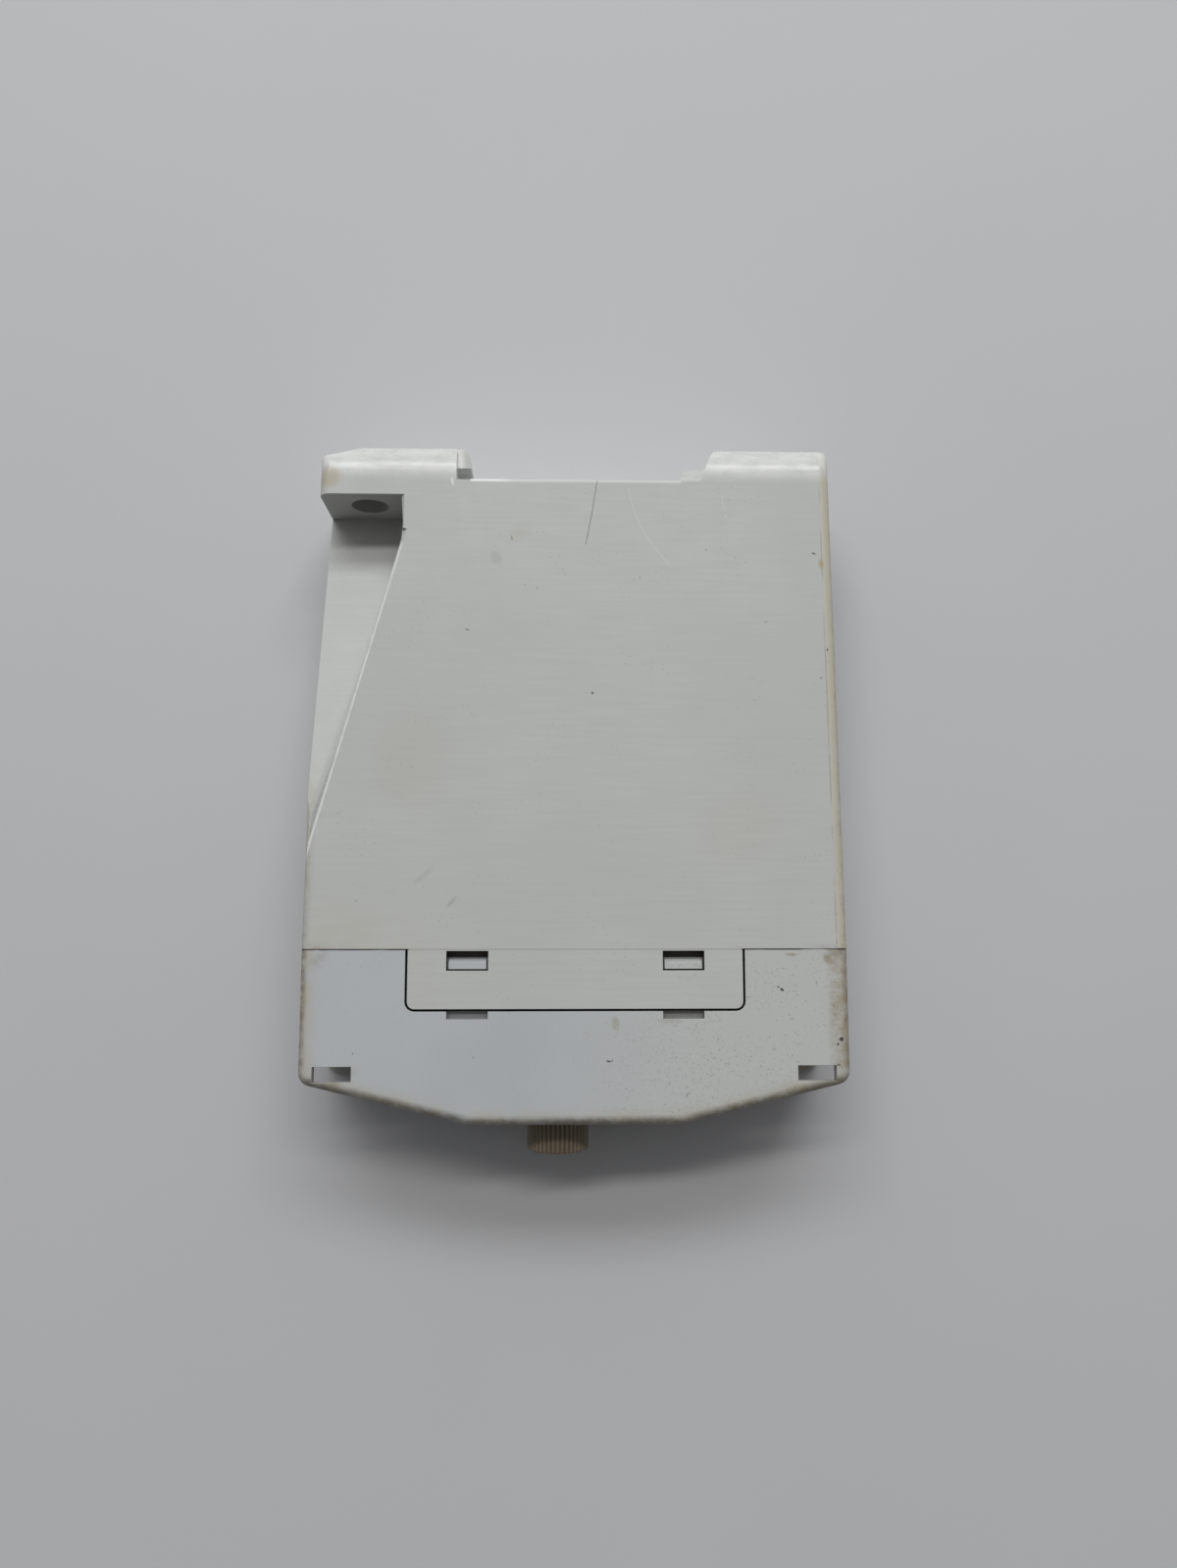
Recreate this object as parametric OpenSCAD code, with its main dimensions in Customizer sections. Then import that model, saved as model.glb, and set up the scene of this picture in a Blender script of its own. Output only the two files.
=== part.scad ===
// Rail-mounted door control module, lying on one side face.
// X runs along the module's height (its upper end at -X), Y along its depth (front at -Y,
// rail side at +Y) and Z across its width. The origin is at the middle of the lower side face.

/* [Module size] */
// Height of the module, along X
module_h = 78.8; // [78:0.2:80]
// Width of the module, across its two side faces
module_w = 22.5; // [22.5:0.5:24]
// Depth from the knob's tip to the back of the feet
module_d = 106.5; // [106:0.5:108]
// How far the knob stands out of the front
knob_out = 5.1; // [4.9:0.1:5.4]
// Depth of the front cover behind the front face
cover_d = 24.7; // [24.7:0.1:25.5]
// Wall thickness of the case and the cover
wall = 1.8; // [1.7:0.1:1.9]
// Lean of the case's end faces towards the rail, in degrees
end_taper = 0.7; // [0.6:0.1:0.9]
// Radius of the long edges
edge_r = 1.6; // [1.2:0.1:1.7]

/* [Rail side] */
// Depth of the rail notch between the feet
notch_d = 6.2; // [6.1:0.1:6.4]
// Upper wall of the rail notch
notch_x0 = -18; // [-18.5:0.1:-18]
// Lower wall of the rail notch, at its floor
notch_x1 = 18.9; // [18.8:0.1:19.2]
// Radius of the rolled back edges of the feet
foot_r = 5; // [4:0.2:5.2]
// Overlap of the hook and the latch nose over the notch
hook_out = 2.1; // [1.9:0.1:2.2]
// Gap between the rail's seat and the hook
rail_gap = 2; // [1.8:0.1:2.1]

/* [Screw lugs] */
// Radius of the screw hole in each lug
lug_hole_r = 2.8; // [2.4:0.1:2.9]
// Distance of the screw hole from the module's middle, along X
lug_hole_x = 31.7; // [31.5:0.1:32]
// Thickness of the lug along Y
lug_t = 8.9; // [8.8:0.1:9]

/* [Terminals] */
// Terminals at each end
terminals = 3; // [3:1:3]
// Spacing of the terminals
terminal_pitch = 6.2; // [6.1:0.1:6.2]
// Distance of the terminal screws from the module's middle
terminal_x = 34.6; // [34.5:0.1:34.7]
// Travel of each clamp cage
clamp_travel = 3.3; // [3:0.1:3.3]

/* [Front] */
// Radius of the setting knob
knob_r = 4.6; // [4.4:0.1:4.8]
// Place of the knob along X
knob_x = -2.5; // [-3:0.1:-2]
// Number of ribs on the knob
knob_ribs = 40; // [32:1:44]
// Angle of the two slopes beside the flat front, in degrees
slope_angle = 13.5; // [13:0.1:13.8]

/* [Hidden] */
$fn = 48;
eps = 0.05;
far = 60;

// Main planes
mid_z = module_w / 2;
half_h = module_h / 2;
foot_y = module_d / 2;
notch_y = foot_y - notch_d;
front_y = -module_d / 2 + knob_out;
parting_y = front_y + cover_d;
in_z0 = wall;
in_z1 = module_w - wall;

// Case and tongue
tongue_x = 24;
tongue_l = 8.4;
tongue_r = 1;
tongue_gap = 0.35;
window_x0 = 12.5;
window_x1 = 18.5;
window_y0 = parting_y - 3;
window_y1 = parting_y - 0.2;
slot_l = 1.1;
seat_h = 0.3;
pad_x = 15.9;
pad_r = 0.8;
back_chamfer = 0.4;
lug_y = foot_y - lug_t;

// Recess beside each lug, for the upper lug on the top side face
recess_corner = [-25.7, lug_y - 5.3];
recess_tip = [-38.4, lug_y - 51.1];
recess_wall_x = -26.2;
recess_r = 2;
recess_edge = 0.45;
ramp_slope = (module_w - mid_z) / (lug_y - recess_tip[1]);

// Latch in the lower foot
latch_y0 = notch_y + 0.6;
latch_y1 = latch_y0 + 3;
latch_w = 5.5;
latch_gap = 0.3;
latch_tip_x = notch_x1 - 2.4;
latch_end_x = 35.6;
latch_back_y = notch_y + 4.9;
latch_nose_x = 20.9;
latch_mouth_x = 23.9;
latch_back_x = 32.9;
spring_x0 = 23.6;
spring_x1 = 30.6;
spring_r = 1.2;
spring_wire_r = 0.2;
spring_turns = 7;
post_t = 1.5;
post_w = 2.3;

// Cover
slope_x = 15.07;
corner_r = 2;
crest_r = 12;
pocket_x = 31.6;
pocket_y = front_y + 8.5;
pocket_t = 1.5;
corner_window = [[31.7, 37.2], [pocket_y - 2.4, pocket_y - 0.2]];
plate_x = 25.5;
plate_t = 1.5;
plate_gap = 0.2;
dial_r = 8.4;
dial_t = 0.4;
shaft_hole_r = 2.5;
lens_x = 10;
lens_z = [7.25, 15.25];
lens_r = 1.5;

// Terminals
screw_head_r = 1.95;
screw_head_t = 1.6;
screw_r = 1.45;
clamp_hole_r = 1.5;
block_y0 = pocket_y + 1.7;
block_y1 = block_y0 + 13.1;
screw_head_y = block_y0 - 0.05 - screw_head_t;
bar_y = block_y0 + 5.8;
bar_t = 0.8;
bar_w = 3;
clamp_w = 4.6;
clamp_l = 4.6;
clamp_y0 = bar_y - 1.7;
clamp_nut_t = 1.4;
clamp_foot_y = bar_y + bar_t + clamp_travel + 0.9;
clamp_foot_t = 1.2;
chamber_w = 5.2;
entry_w = 4.4;
entry_y0 = bar_y + 0.6;
entry_y1 = bar_y + 5.2;

// Boards
board_t = 1.6;
front_board_y = bar_y - board_t;
main_z = 4;
main_top = main_z + board_t;
pot_depth = 5;
shaft_r = 2;

function terminal_side(i) = i <= terminals ? -1 : 1;
function terminal_z(i) = mid_z + ((i - 1) % terminals - 1) * terminal_pitch;

// Points along a circular arc about (x, y), from angle a to angle b
function arc(x, y, r, a, b, n = 5) =
    [for (i = [0:n]) let (t = a + (b - a) * i / n) [x + r * cos(t), y + r * sin(t)]];

// The same points in reverse order, and the same on the other side of the Y axis
function reversed(points) = [for (i = [len(points) - 1:-1:0]) points[i]];
function mirrored(points) = [for (p = reversed(points)) [-p[0], p[1]]];

// Solid of a given height whose outlines, one per level, run clockwise as seen from above.
// The levels come from the edge's rounding: how far each is drawn in, and how far from the end.
edge_steps = 4;
edge_levels = [for (i = [0:edge_steps]) 90 * i / edge_steps];

function level_inset(a) = edge_r * (1 - sin(a));
function level_z(a) = edge_r * (1 - cos(a));

module rounded_solid(outlines, height) {
    n = len(outlines[0]);
    lower = [for (k = [0:edge_steps], p = outlines[k]) [p[0], p[1], level_z(edge_levels[k])]];
    upper = [for (k = [edge_steps:-1:0], p = outlines[k]) [p[0], p[1], height - level_z(edge_levels[k])]];
    bands = [for (k = [0:2 * edge_steps], j = [0:n - 1])
        [k * n + (j + 1) % n, (k + 1) * n + (j + 1) % n, (k + 1) * n + j, k * n + j]];
    floor_face = [for (j = [n - 1:-1:0]) j];
    top_face = [for (j = [0:n - 1]) (2 * edge_steps + 1) * n + j];
    polyhedron(concat(lower, upper), concat(bands, [floor_face, top_face]));
}

// Shared shapes
module box(x, y, z) {
    translate([x[0], y[0], z[0]])
        cube([x[1] - x[0], y[1] - y[0], z[1] - z[0]]);
}

module rod_x(x, y, z, r) {
    translate([x[0], y, z])
        rotate([0, 90, 0])
            cylinder(h = x[1] - x[0], r = r);
}

module rod_y(x, y, z, r) {
    translate([x, y[0], z])
        rotate([-90, 0, 0])
            cylinder(h = y[1] - y[0], r = r);
}

module rod_z(x, y, z, r) {
    translate([x, y, z[0]])
        cylinder(h = z[1] - z[0], r = r);
}

// Half a turn about the module's long middle line, to the other lug
module other_lug() {
    translate([0, 0, module_w])
        rotate([0, 180, 0])
            children();
}

// Both side faces: as drawn for the top one, and mirrored to the lower one
module both_sides() {
    children();
    translate([0, 0, module_w])
        mirror([0, 0, 1])
            children();
}

// Both ends: as drawn for +X, and mirrored to -X
module both_ends() {
    children();
    mirror([1, 0, 0])
        children();
}

// Case: outline of its convex body, drawn in all round by inset
function shell_half(inset) = let (
        side = half_h - inset / cos(end_taper),
        back = foot_y - inset,
        lean = tan(end_taper)
    ) [
        [side, parting_y],
        [side - lean * (back - back_chamfer - parting_y), back - back_chamfer],
        [side - lean * (back - parting_y) - back_chamfer, back]
    ];

function shell_outline(inset) = reversed(concat(shell_half(inset), mirrored(shell_half(inset))));

// The back of the feet, rolled over towards both side faces; lower by inset towards the ends
function rolled_outline(inset) = reversed(concat(
    [[-far, inset]],
    [for (i = [0:6]) rolled_point(-1, inset, 15 * (6 - i))],
    [for (i = [0:6]) rolled_point(1, inset, 15 * i)],
    [[-far, module_w - inset]]
));

function rolled_point(side, inset, a) = [
    foot_y - foot_r + foot_r * cos(a),
    mid_z + side * (mid_z - foot_r + (foot_r - inset) * sin(a))
];

module rolled_back() {
    roll_y = foot_y - foot_r - 1;
    roll_x = half_h - tan(end_taper) * (roll_y - parting_y) + 0.02;
    box([-far, far], [-far, roll_y], [-1, module_w + 1]);
    translate([-roll_x, 0, 0])
        rotate([90, 0, 90])
            rounded_solid([for (a = edge_levels) rolled_outline(level_inset(a))], 2 * roll_x);
}

// Recess and ramp in front of the upper lug; grow makes the keep-out that carries its wall
module lug_recess(grow = 0) {
    run = recess_corner - recess_tip;
    past = recess_tip - run / 8;
    intersection() {
        translate([grow, 0, 0])
            linear_extrude(height = 2 * module_w)
                polygon([
                    [recess_wall_x, lug_y + grow],
                    recess_corner + [-0.2, 0.9],
                    recess_corner - run / 30,
                    past,
                    [-far, past[1]],
                    [-far, lug_y + grow]
                ]);
        translate([0, 0, -grow])
            rotate([90, 0, 90])
                linear_extrude(height = 2 * far, center = true)
                    polygon([
                        [lug_y + grow, mid_z - ramp_slope * grow],
                        [past[1], module_w + ramp_slope * (recess_tip[1] - past[1])],
                        [past[1], 2 * module_w],
                        [lug_y + grow, 2 * module_w]
                    ]);
    }
}

// Prism along the bottom corner of the recess wall that starts at p and turns away by turn
// degrees; it rounds the corner between that wall and the ramp
module corner_fillet(p, turn, length) {
    rise = atan(ramp_slope * cos(turn));
    translate([p[0], p[1], mid_z + ramp_slope * (lug_y - p[1])])
        rotate([90 - rise, 0, -turn])
            linear_extrude(height = length)
                polygon(concat([[1, -1], [1, recess_r]], arc(-recess_r, recess_r, recess_r, 0, -90),
                               [[-recess_r, -1]]));
}

module rounded_recess() {
    run = recess_corner - recess_tip;
    turn = atan(run[0] / run[1]);
    difference() {
        lug_recess();
        corner_fillet([recess_wall_x, lug_y + 1], 0, 5.5);
        corner_fillet(recess_corner, turn, norm(run) + 3);
    }
    edge_chamfer([recess_wall_x, lug_y], 0, 5.2);
    edge_chamfer(recess_corner, turn, norm(run) + 3);
}

// Diamond bar along the top edge of the recess wall, which takes off its sharp corner
module edge_chamfer(p, turn, length) {
    translate([p[0], p[1], module_w])
        rotate([90, 0, -turn])
            linear_extrude(height = length)
                rotate(45)
                    square(recess_edge * sqrt(2), center = true);
}

// Screw hole through the upper lug
module lug_hole() {
    rod_y(-lug_hole_x, [lug_y - 1, foot_y + 1], mid_z + 5.95, lug_hole_r);
}

// Curved corner on the back of the upper foot
module upper_foot_trim() {
    translate([0, 0, -1])
        linear_extrude(height = module_w + 2)
            polygon([[-far, foot_y - 2.9], [-38, foot_y - 2.75], [-36.2, foot_y - 2.3],
                     [-34.4, foot_y - 1.6], [-32.6, foot_y - 0.75], [-30.8, foot_y - 0.15],
                     [-28, foot_y + 0.2], [-28, foot_y + 1], [-far, foot_y + 1]]);
}

module rail_notch() {
    floor_y = notch_y - seat_h;
    translate([0, 0, -1])
        linear_extrude(height = module_w + 2)
            polygon([[notch_x0, floor_y], [notch_x1, floor_y], [notch_x1 + 0.4, notch_y + 0.9],
                     [notch_x1 + 0.9, notch_y + 2.2], [notch_x1 + 1.5, foot_y - 2.4],
                     [notch_x1 + 2.2, foot_y - 1.1], [notch_x1 + 3.2, foot_y - 0.2],
                     [notch_x1 + 4, foot_y + 0.1], [notch_x1 + 4, foot_y + 1],
                     [notch_x0, foot_y + 1]]);
}

// Raised seat for the rail's flanges, with its two long edges rounded off
module rail_pad() {
    box([-pad_x, pad_x], [notch_y - 1, notch_y], [0, module_w]);
}

module pad_rounding() {
    both_sides()
        difference() {
            box([-pad_x, pad_x], [notch_y - pad_r, notch_y + 1], [module_w - pad_r, module_w + 1]);
            rod_x([-pad_x - 1, pad_x + 1], notch_y - pad_r, module_w - pad_r, pad_r);
        }
}

module fixed_hook() {
    hook_y = notch_y + rail_gap;
    translate([0, 0, 1.5])
        linear_extrude(height = module_w - 3)
            polygon([[notch_x0 - 1, hook_y], [notch_x0 + hook_out, hook_y],
                     [notch_x0 + hook_out - 0.2, hook_y + 1.8], [notch_x0 + hook_out - 1, hook_y + 2.9],
                     [notch_x0 - 1, hook_y + 3.1]]);
}

// Tunnel for the latch through the lower foot, open to the back at both its ends
module latch_tunnel() {
    y0 = latch_y0 - latch_gap;
    z = [mid_z - latch_w / 2 - latch_gap, mid_z + latch_w / 2 + latch_gap];
    box([notch_x1 - 1, half_h + 1], [y0, latch_y1 + latch_gap], z);
    box([notch_x1 - 1, latch_mouth_x], [y0, foot_y + 1], z);
    box([latch_back_x, half_h + 1], [y0, foot_y + 1], z);
}

// Post across the tunnel that the spring pushes against
module spring_post() {
    box([spring_x1, spring_x1 + post_t], [latch_y0 - 1, foot_y - 0.5],
        [mid_z - post_w / 2, mid_z + post_w / 2]);
}

module tongue() {
    y0 = parting_y - tongue_l;
    translate([0, 0, module_w - wall])
        difference() {
            linear_extrude(height = wall)
                polygon(concat(
                    arc(tongue_x - tongue_r, y0 + tongue_r, tongue_r, 0, -90, 4),
                    arc(-tongue_x + tongue_r, y0 + tongue_r, tongue_r, -90, -180, 4),
                    [[-tongue_x, parting_y + 1], [tongue_x, parting_y + 1]]
                ));
            both_ends()
                box([window_x0, window_x1], [window_y0, window_y1], [-1, wall + 1]);
        }
}

// Slots in both end faces that let warm air out
module air_slots() {
    both_ends()
        for (i = [0:3])
            box([half_h - 3, half_h + 1], [-18 + 2.8 * i, -16.6 + 2.8 * i], [6, module_w - 6]);
}

// Ledges inside the case that the main board lies on
module board_ledges() {
    reach = half_h - wall + 0.2;
    box([-reach, -half_h + 4.6], [-14, -2], [main_z - 1.2, main_z]);
    box([-30, 16], [notch_y - seat_h - wall - 3, notch_y - 1], [main_z - 1.2, main_z]);
    box([half_h - 4.6, reach], [-14, -8], [main_z - 1.2, main_z]);
}

module shell_cavity() {
    side = half_h - wall;
    lean = tan(end_taper) * (lug_y - wall - parting_y);
    translate([0, 0, in_z0])
        linear_extrude(height = in_z1 - in_z0)
            polygon([[-side, parting_y - 1], [side, parting_y - 1],
                     [side - lean, lug_y - wall], [notch_x1 - 1, lug_y - wall],
                     [notch_x1 - 1, notch_y - seat_h - wall], [notch_x0 + 1, notch_y - seat_h - wall],
                     [notch_x0 + 1, lug_y - wall], [-side + lean, lug_y - wall]]);
}

module housing_shell() {
    color([0.70, 0.71, 0.69]) {
        difference() {
            intersection() {
                rounded_solid([for (a = edge_levels) shell_outline(level_inset(a))], module_w);
                rolled_back();
            }
            difference() {
                shell_cavity();
                lug_recess(wall);
                other_lug()
                    lug_recess(wall);
                board_ledges();
            }
            rounded_recess();
            lug_hole();
            other_lug() {
                rounded_recess();
                lug_hole();
            }
            upper_foot_trim();
            rail_notch();
            latch_tunnel();
            air_slots();
            pad_rounding();
        }
        difference() {
            rail_pad();
            pad_rounding();
        }
        fixed_hook();
        spring_post();
        both_sides()
            tongue();
    }
}

// Cover: half of its convex outline, drawn in by inset
function slope_line_x(inset) =
    slope_x - inset * (1 - cos(slope_angle)) / sin(slope_angle);

function cover_half(inset) = let (
        side = half_h - inset,
        flat = front_y + inset,
        r = max(corner_r - inset, 0.1),
        crest_t = crest_r * tan(slope_angle / 2),
        crest_x = slope_line_x(inset),
        cy = flat + tan(slope_angle) * (side - r - crest_x) + r / cos(slope_angle)
    ) concat(
        [[side, parting_y]],
        arc(side - r, cy, r, 0, slope_angle - 90),
        arc(crest_x - crest_t, flat + crest_r, crest_r, slope_angle - 90, -90, 3)
    );

function cover_outline(inset) = concat(cover_half(inset), mirrored(cover_half(inset)));

// Hollow behind the front: wide beside the terminals, narrower between the corner pockets
module cover_cavity() {
    intersection() {
        translate([0, 0, in_z0])
            linear_extrude(height = in_z1 - in_z0)
                polygon(cover_outline(wall));
        union() {
            box([-half_h, half_h], [pocket_y + pocket_t, parting_y + 1], [0, module_w]);
            box([-pocket_x + pocket_t, pocket_x - pocket_t], [-far, parting_y], [0, module_w]);
        }
    }
    box([-half_h + wall, half_h - wall], [parting_y - 1, parting_y + 1], [in_z0, in_z1]);
}

// Open corner in front of the terminals, between the two cheeks
module corner_pocket() {
    box([pocket_x, half_h + 1], [-far, pocket_y], [in_z0, in_z1]);
    box(corner_window[0], corner_window[1], [-1, module_w + 1]);
    for (i = [1:terminals])
        rod_y(terminal_x, [pocket_y - 1, pocket_y + pocket_t + 1], terminal_z(i), 2.25);
}

module wire_entries() {
    for (i = [1:terminals])
        box([half_h - wall - 1, half_h + 1], [entry_y0, entry_y1],
            [terminal_z(i) - entry_w / 2, terminal_z(i) + entry_w / 2]);
}

// Gap round the tongue, with the two release slots in its edge
module tongue_clearance() {
    y0 = parting_y - tongue_l - tongue_gap;
    x = tongue_x + tongue_gap;
    r = tongue_r + tongue_gap;
    translate([0, 0, in_z1 - 0.1])
        linear_extrude(height = 2 * wall)
            polygon(concat(arc(x - r, y0 + r, r, 0, -90, 4), arc(r - x, y0 + r, r, -90, -180, 4),
                           [[-x, parting_y + 1], [x, parting_y + 1]]));
    both_ends()
        box([window_x0, window_x1 - 0.1], [y0 - slot_l, y0 + 1], [in_z1 + 0.3, module_w + 1]);
}

// Plate under the tongue, joined to the cheek in front of it, with the two latch noses
module snap_plate() {
    y0 = parting_y - tongue_l;
    top = in_z1 - plate_gap;
    box([-plate_x, plate_x], [y0 - 2.5, parting_y + 1.4], [top - plate_t, top]);
    box([-plate_x, plate_x], [y0 - 2.5, y0 - tongue_gap - slot_l - 0.1], [top - plate_t, in_z1 + 0.2]);
    both_ends()
        translate([window_x0 + 0.3, 0, 0])
            rotate([90, 0, 90])
                linear_extrude(height = window_x1 - window_x0 - 0.6)
                    polygon([[window_y0 + 0.2, top - 0.5], [window_y0 + 0.2, module_w - 0.4],
                             [window_y0 + 1.2, module_w - 0.4], [window_y0 + 1.9, top],
                             [window_y0 + 1.9, top - 0.5]]);
}

// Lip that centres the cover in the case's mouth, and ribs that hold the front board
module cover_lips() {
    both_ends() {
        box([half_h - 3.2, half_h - wall - 0.1], [parting_y - 1.1, parting_y + 2.2], [4, module_w - 4]);
        box([half_h - 3.2, half_h - wall + 0.2], [parting_y - 1.1, parting_y - 0.1], [4, module_w - 4]);
        box([23.5, 24.7], [front_board_y - 1.5, front_board_y], [in_z0 - 0.1, in_z0 + 3.6]);
        box([23.5, 24.7], [front_board_y - 1.5, front_board_y], [in_z1 - 3.6, in_z1 + 0.1]);
    }
}

module front_cover() {
    color([0.76, 0.78, 0.79]) {
        difference() {
            rounded_solid([for (a = edge_levels) cover_outline(level_inset(a))], module_w);
            cover_cavity();
            both_ends() {
                corner_pocket();
                wire_entries();
            }
            both_sides()
                tongue_clearance();
            rod_y(knob_x, [front_y - 1, front_y + wall + 1], mid_z, shaft_hole_r);
            rod_y(knob_x, [front_y - 1, front_y + dial_t], mid_z, dial_r + 0.1);
            for (z = lens_z)
                rod_y(lens_x, [front_y - 1, front_y + wall + 1], z, lens_r + 0.05);
        }
        both_sides()
            snap_plate();
        cover_lips();
    }
}

module scale_plate() {
    color([0.93, 0.93, 0.92])
        difference() {
            rod_y(knob_x, [front_y, front_y + dial_t], mid_z, dial_r);
            rod_y(knob_x, [front_y - 1, front_y + 1], mid_z, shaft_hole_r);
        }
}

// Light pipe with a low dome at the front and a collar behind the wall
module led_lens(z, tint) {
    lens_y1 = front_board_y - 2.8;
    color(tint)
        translate([lens_x, lens_y1, z])
            rotate([90, 0, 0])
                rotate_extrude()
                    polygon(concat(
                        [[0, 0], [lens_r, 0], [lens_r, lens_y1 - front_y - wall - 0.8],
                         [lens_r + 0.4, lens_y1 - front_y - wall - 0.8],
                         [lens_r + 0.4, lens_y1 - front_y - wall],
                         [lens_r, lens_y1 - front_y - wall]],
                        arc(0, lens_y1 - front_y - 0.9, 1.75, 31, 90)
                    ));
}

module led(z, tint) {
    color(tint)
        translate([lens_x, front_board_y, z])
            rotate([90, 0, 0])
                rotate_extrude()
                    polygon(concat([[0, 0], [1.6, 0], [1.6, 0.5], [1.4, 0.5]],
                                   arc(0, 1.1, 1.4, 0, 90)));
}

module front_board() {
    color([0.10, 0.38, 0.22])
        box([-28.5, 28.5], [front_board_y, bar_y], [4.2, module_w - 4.2]);
}

// Places of the five relay pins, from the relay's corner
relay_x = 20;
relay_y = -21;
relay_l = 28;
relay_w = 10;
relay_pin_places = [[2.5, 2], [7.5, 2], [5, 18], [2.5, 25.5], [7.5, 25.5]];

module relay_pin_rods(r, z) {
    for (p = relay_pin_places)
        rod_z(relay_x + p[0], relay_y + p[1], z, r);
}

module main_board() {
    color([0.10, 0.38, 0.22])
        difference() {
            translate([0, 0, main_z])
                linear_extrude(height = board_t)
                    polygon([[-26.5, bar_y + 1.2], [26.5, bar_y + 1.2], [26.5, block_y1 + 0.8],
                             [35.3, block_y1 + 0.8], [35.3, 0.5], [33.4, 3], [23.4, 38.6],
                             [23.4, 42], [-35, 42], [-35.3, block_y1 + 0.8],
                             [-26.5, block_y1 + 0.8]]);
            relay_pin_rods(0.45, [0, module_w]);
        }
}

// Right-angle strip between the two boards, with its row of pins
module board_header() {
    pitch = 2.54;
    color([0.08, 0.08, 0.09])
        box([-21, -21 + 10 * pitch], [bar_y, bar_y + 2.5], [main_top, main_top + 2.5]);
    color([0.75, 0.65, 0.35])
        for (i = [0:9])
            box([-20.1 + i * pitch, -19.5 + i * pitch], [bar_y + 2.4, bar_y + 5],
                [main_top, main_top + 1.6]);
}

module output_relay() {
    color([0.13, 0.20, 0.36])
        box([relay_x, relay_x + relay_w], [relay_y, relay_y + relay_l], [main_top, main_top + 14.4]);
}

module relay_pins() {
    color([0.78, 0.78, 0.76])
        relay_pin_rods(0.35, [main_z - 1.4, main_top]);
}

// Transformer: laminated core lying flat, with the bobbin on its middle leg
trafo_x = -6;
trafo_y = 27;
trafo_z = main_top + 7;
core_x = 14;
core_y = 12;
core_t = 4.5;
leg_x = 4.5;
window_in_x = 9.5;
window_half_y = 7.5;

module transformer_core() {
    color([0.42, 0.42, 0.44])
        translate([trafo_x, trafo_y, trafo_z])
            difference() {
                box([-core_x, core_x], [-core_y, core_y], [-core_t, core_t]);
                both_ends()
                    box([leg_x, window_in_x], [-window_half_y, window_half_y], [-far, far]);
            }
}

module transformer_bobbin() {
    color([0.86, 0.84, 0.76])
        translate([trafo_x, trafo_y, trafo_z])
            difference() {
                box([-9.3, 9.3], [-7.4, 7.4], [-7, 7]);
                box([-leg_x - 0.05, leg_x + 0.05], [-far, far], [-core_t - 0.05, core_t + 0.05]);
                difference() {
                    box([-far, far], [-6.4, 6.4], [-far, far]);
                    box([-5.3, 5.3], [-far, far], [-5.3, 5.3]);
                }
            }
}

module transformer_winding() {
    color([0.66, 0.33, 0.14])
        translate([trafo_x, trafo_y, trafo_z])
            difference() {
                box([-9, 9], [-6.35, 6.35], [-6.7, 6.7]);
                box([-5.35, 5.35], [-far, far], [-5.35, 5.35]);
            }
}

// Upright can with a rolled groove above its foot
module can_capacitor(x, y, r, h) {
    translate([x, y, main_top])
        rotate_extrude()
            polygon([[0, 0], [r - 0.2, 0], [r, 0.3], [r, 1.3], [r - 0.35, 1.7], [r, 2.1],
                     [r, h - 0.4], [r - 0.4, h], [0, h]]);
}

module supply_capacitor() {
    color([0.12, 0.12, 0.16])
        can_capacitor(15.5, 28, 5, 13);
}

module filter_capacitor() {
    color([0.14, 0.20, 0.35])
        can_capacitor(14, 14, 3.15, 11);
}

module varistor() {
    color([0.10, 0.25, 0.55]) {
        rod_x([-29.5, -25.5], 2, main_top + 5.6, 4.5);
        for (y = [-1.7, 5.7])
            rod_z(-27.5, y, [main_top, main_top + 4], 0.35);
    }
}

module fuse() {
    color([0.45, 0.16, 0.12])
        rod_z(-28, -14, [main_top, main_top + 8], 4.2);
}

module bridge_rectifier() {
    color([0.12, 0.12, 0.13])
        box([-31, -24.6], [8.6, 13.8], [main_top, main_top + 4]);
}

module controller_chip() {
    color([0.14, 0.14, 0.15])
        box([-9.2, 1.2], [-2, 5.5], [main_top + 0.2, main_top + 2.4]);
    color([0.75, 0.75, 0.74])
        for (i = [0:7], y = [-3.4, 5.4])
            box([-8.6 + 1.27 * i, -8.2 + 1.27 * i], [y, y + 1.5], [main_top, main_top + 0.9]);
}

module voltage_regulator() {
    color([0.16, 0.16, 0.17])
        box([-17.5, -13], [-2, 2], [main_top, main_top + 4.6]);
}

module crystal() {
    color([0.75, 0.76, 0.77])
        box([-10, 1], [-13.3, -8.7], [main_top, main_top + 3.6]);
}

// Five lying resistors, each on its two bent leads
module resistors() {
    color([0.70, 0.58, 0.42])
        for (i = [0:4]) {
            rod_x([6, 12.4], -18 + 4 * i, main_top + 1.5, 1.15);
            for (x = [5, 13])
                rod_z(x, -18 + 4 * i, [main_top, main_top + 1.8], 0.3);
            rod_x([5, 13], -18 + 4 * i, main_top + 1.5, 0.28);
        }
}

module ceramic_capacitors() {
    color([0.78, 0.48, 0.16])
        for (p = [[-16, -20], [-16, -14], [-2, -20], [3.5, 9.5]]) {
            rod_y(p[0], [p[1] - 1, p[1] + 1], main_top + 4.2, 2.6);
            for (x = [-1.3, 1.3])
                rod_z(p[0] + x, p[1], [main_top, main_top + 3], 0.3);
        }
}

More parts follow.
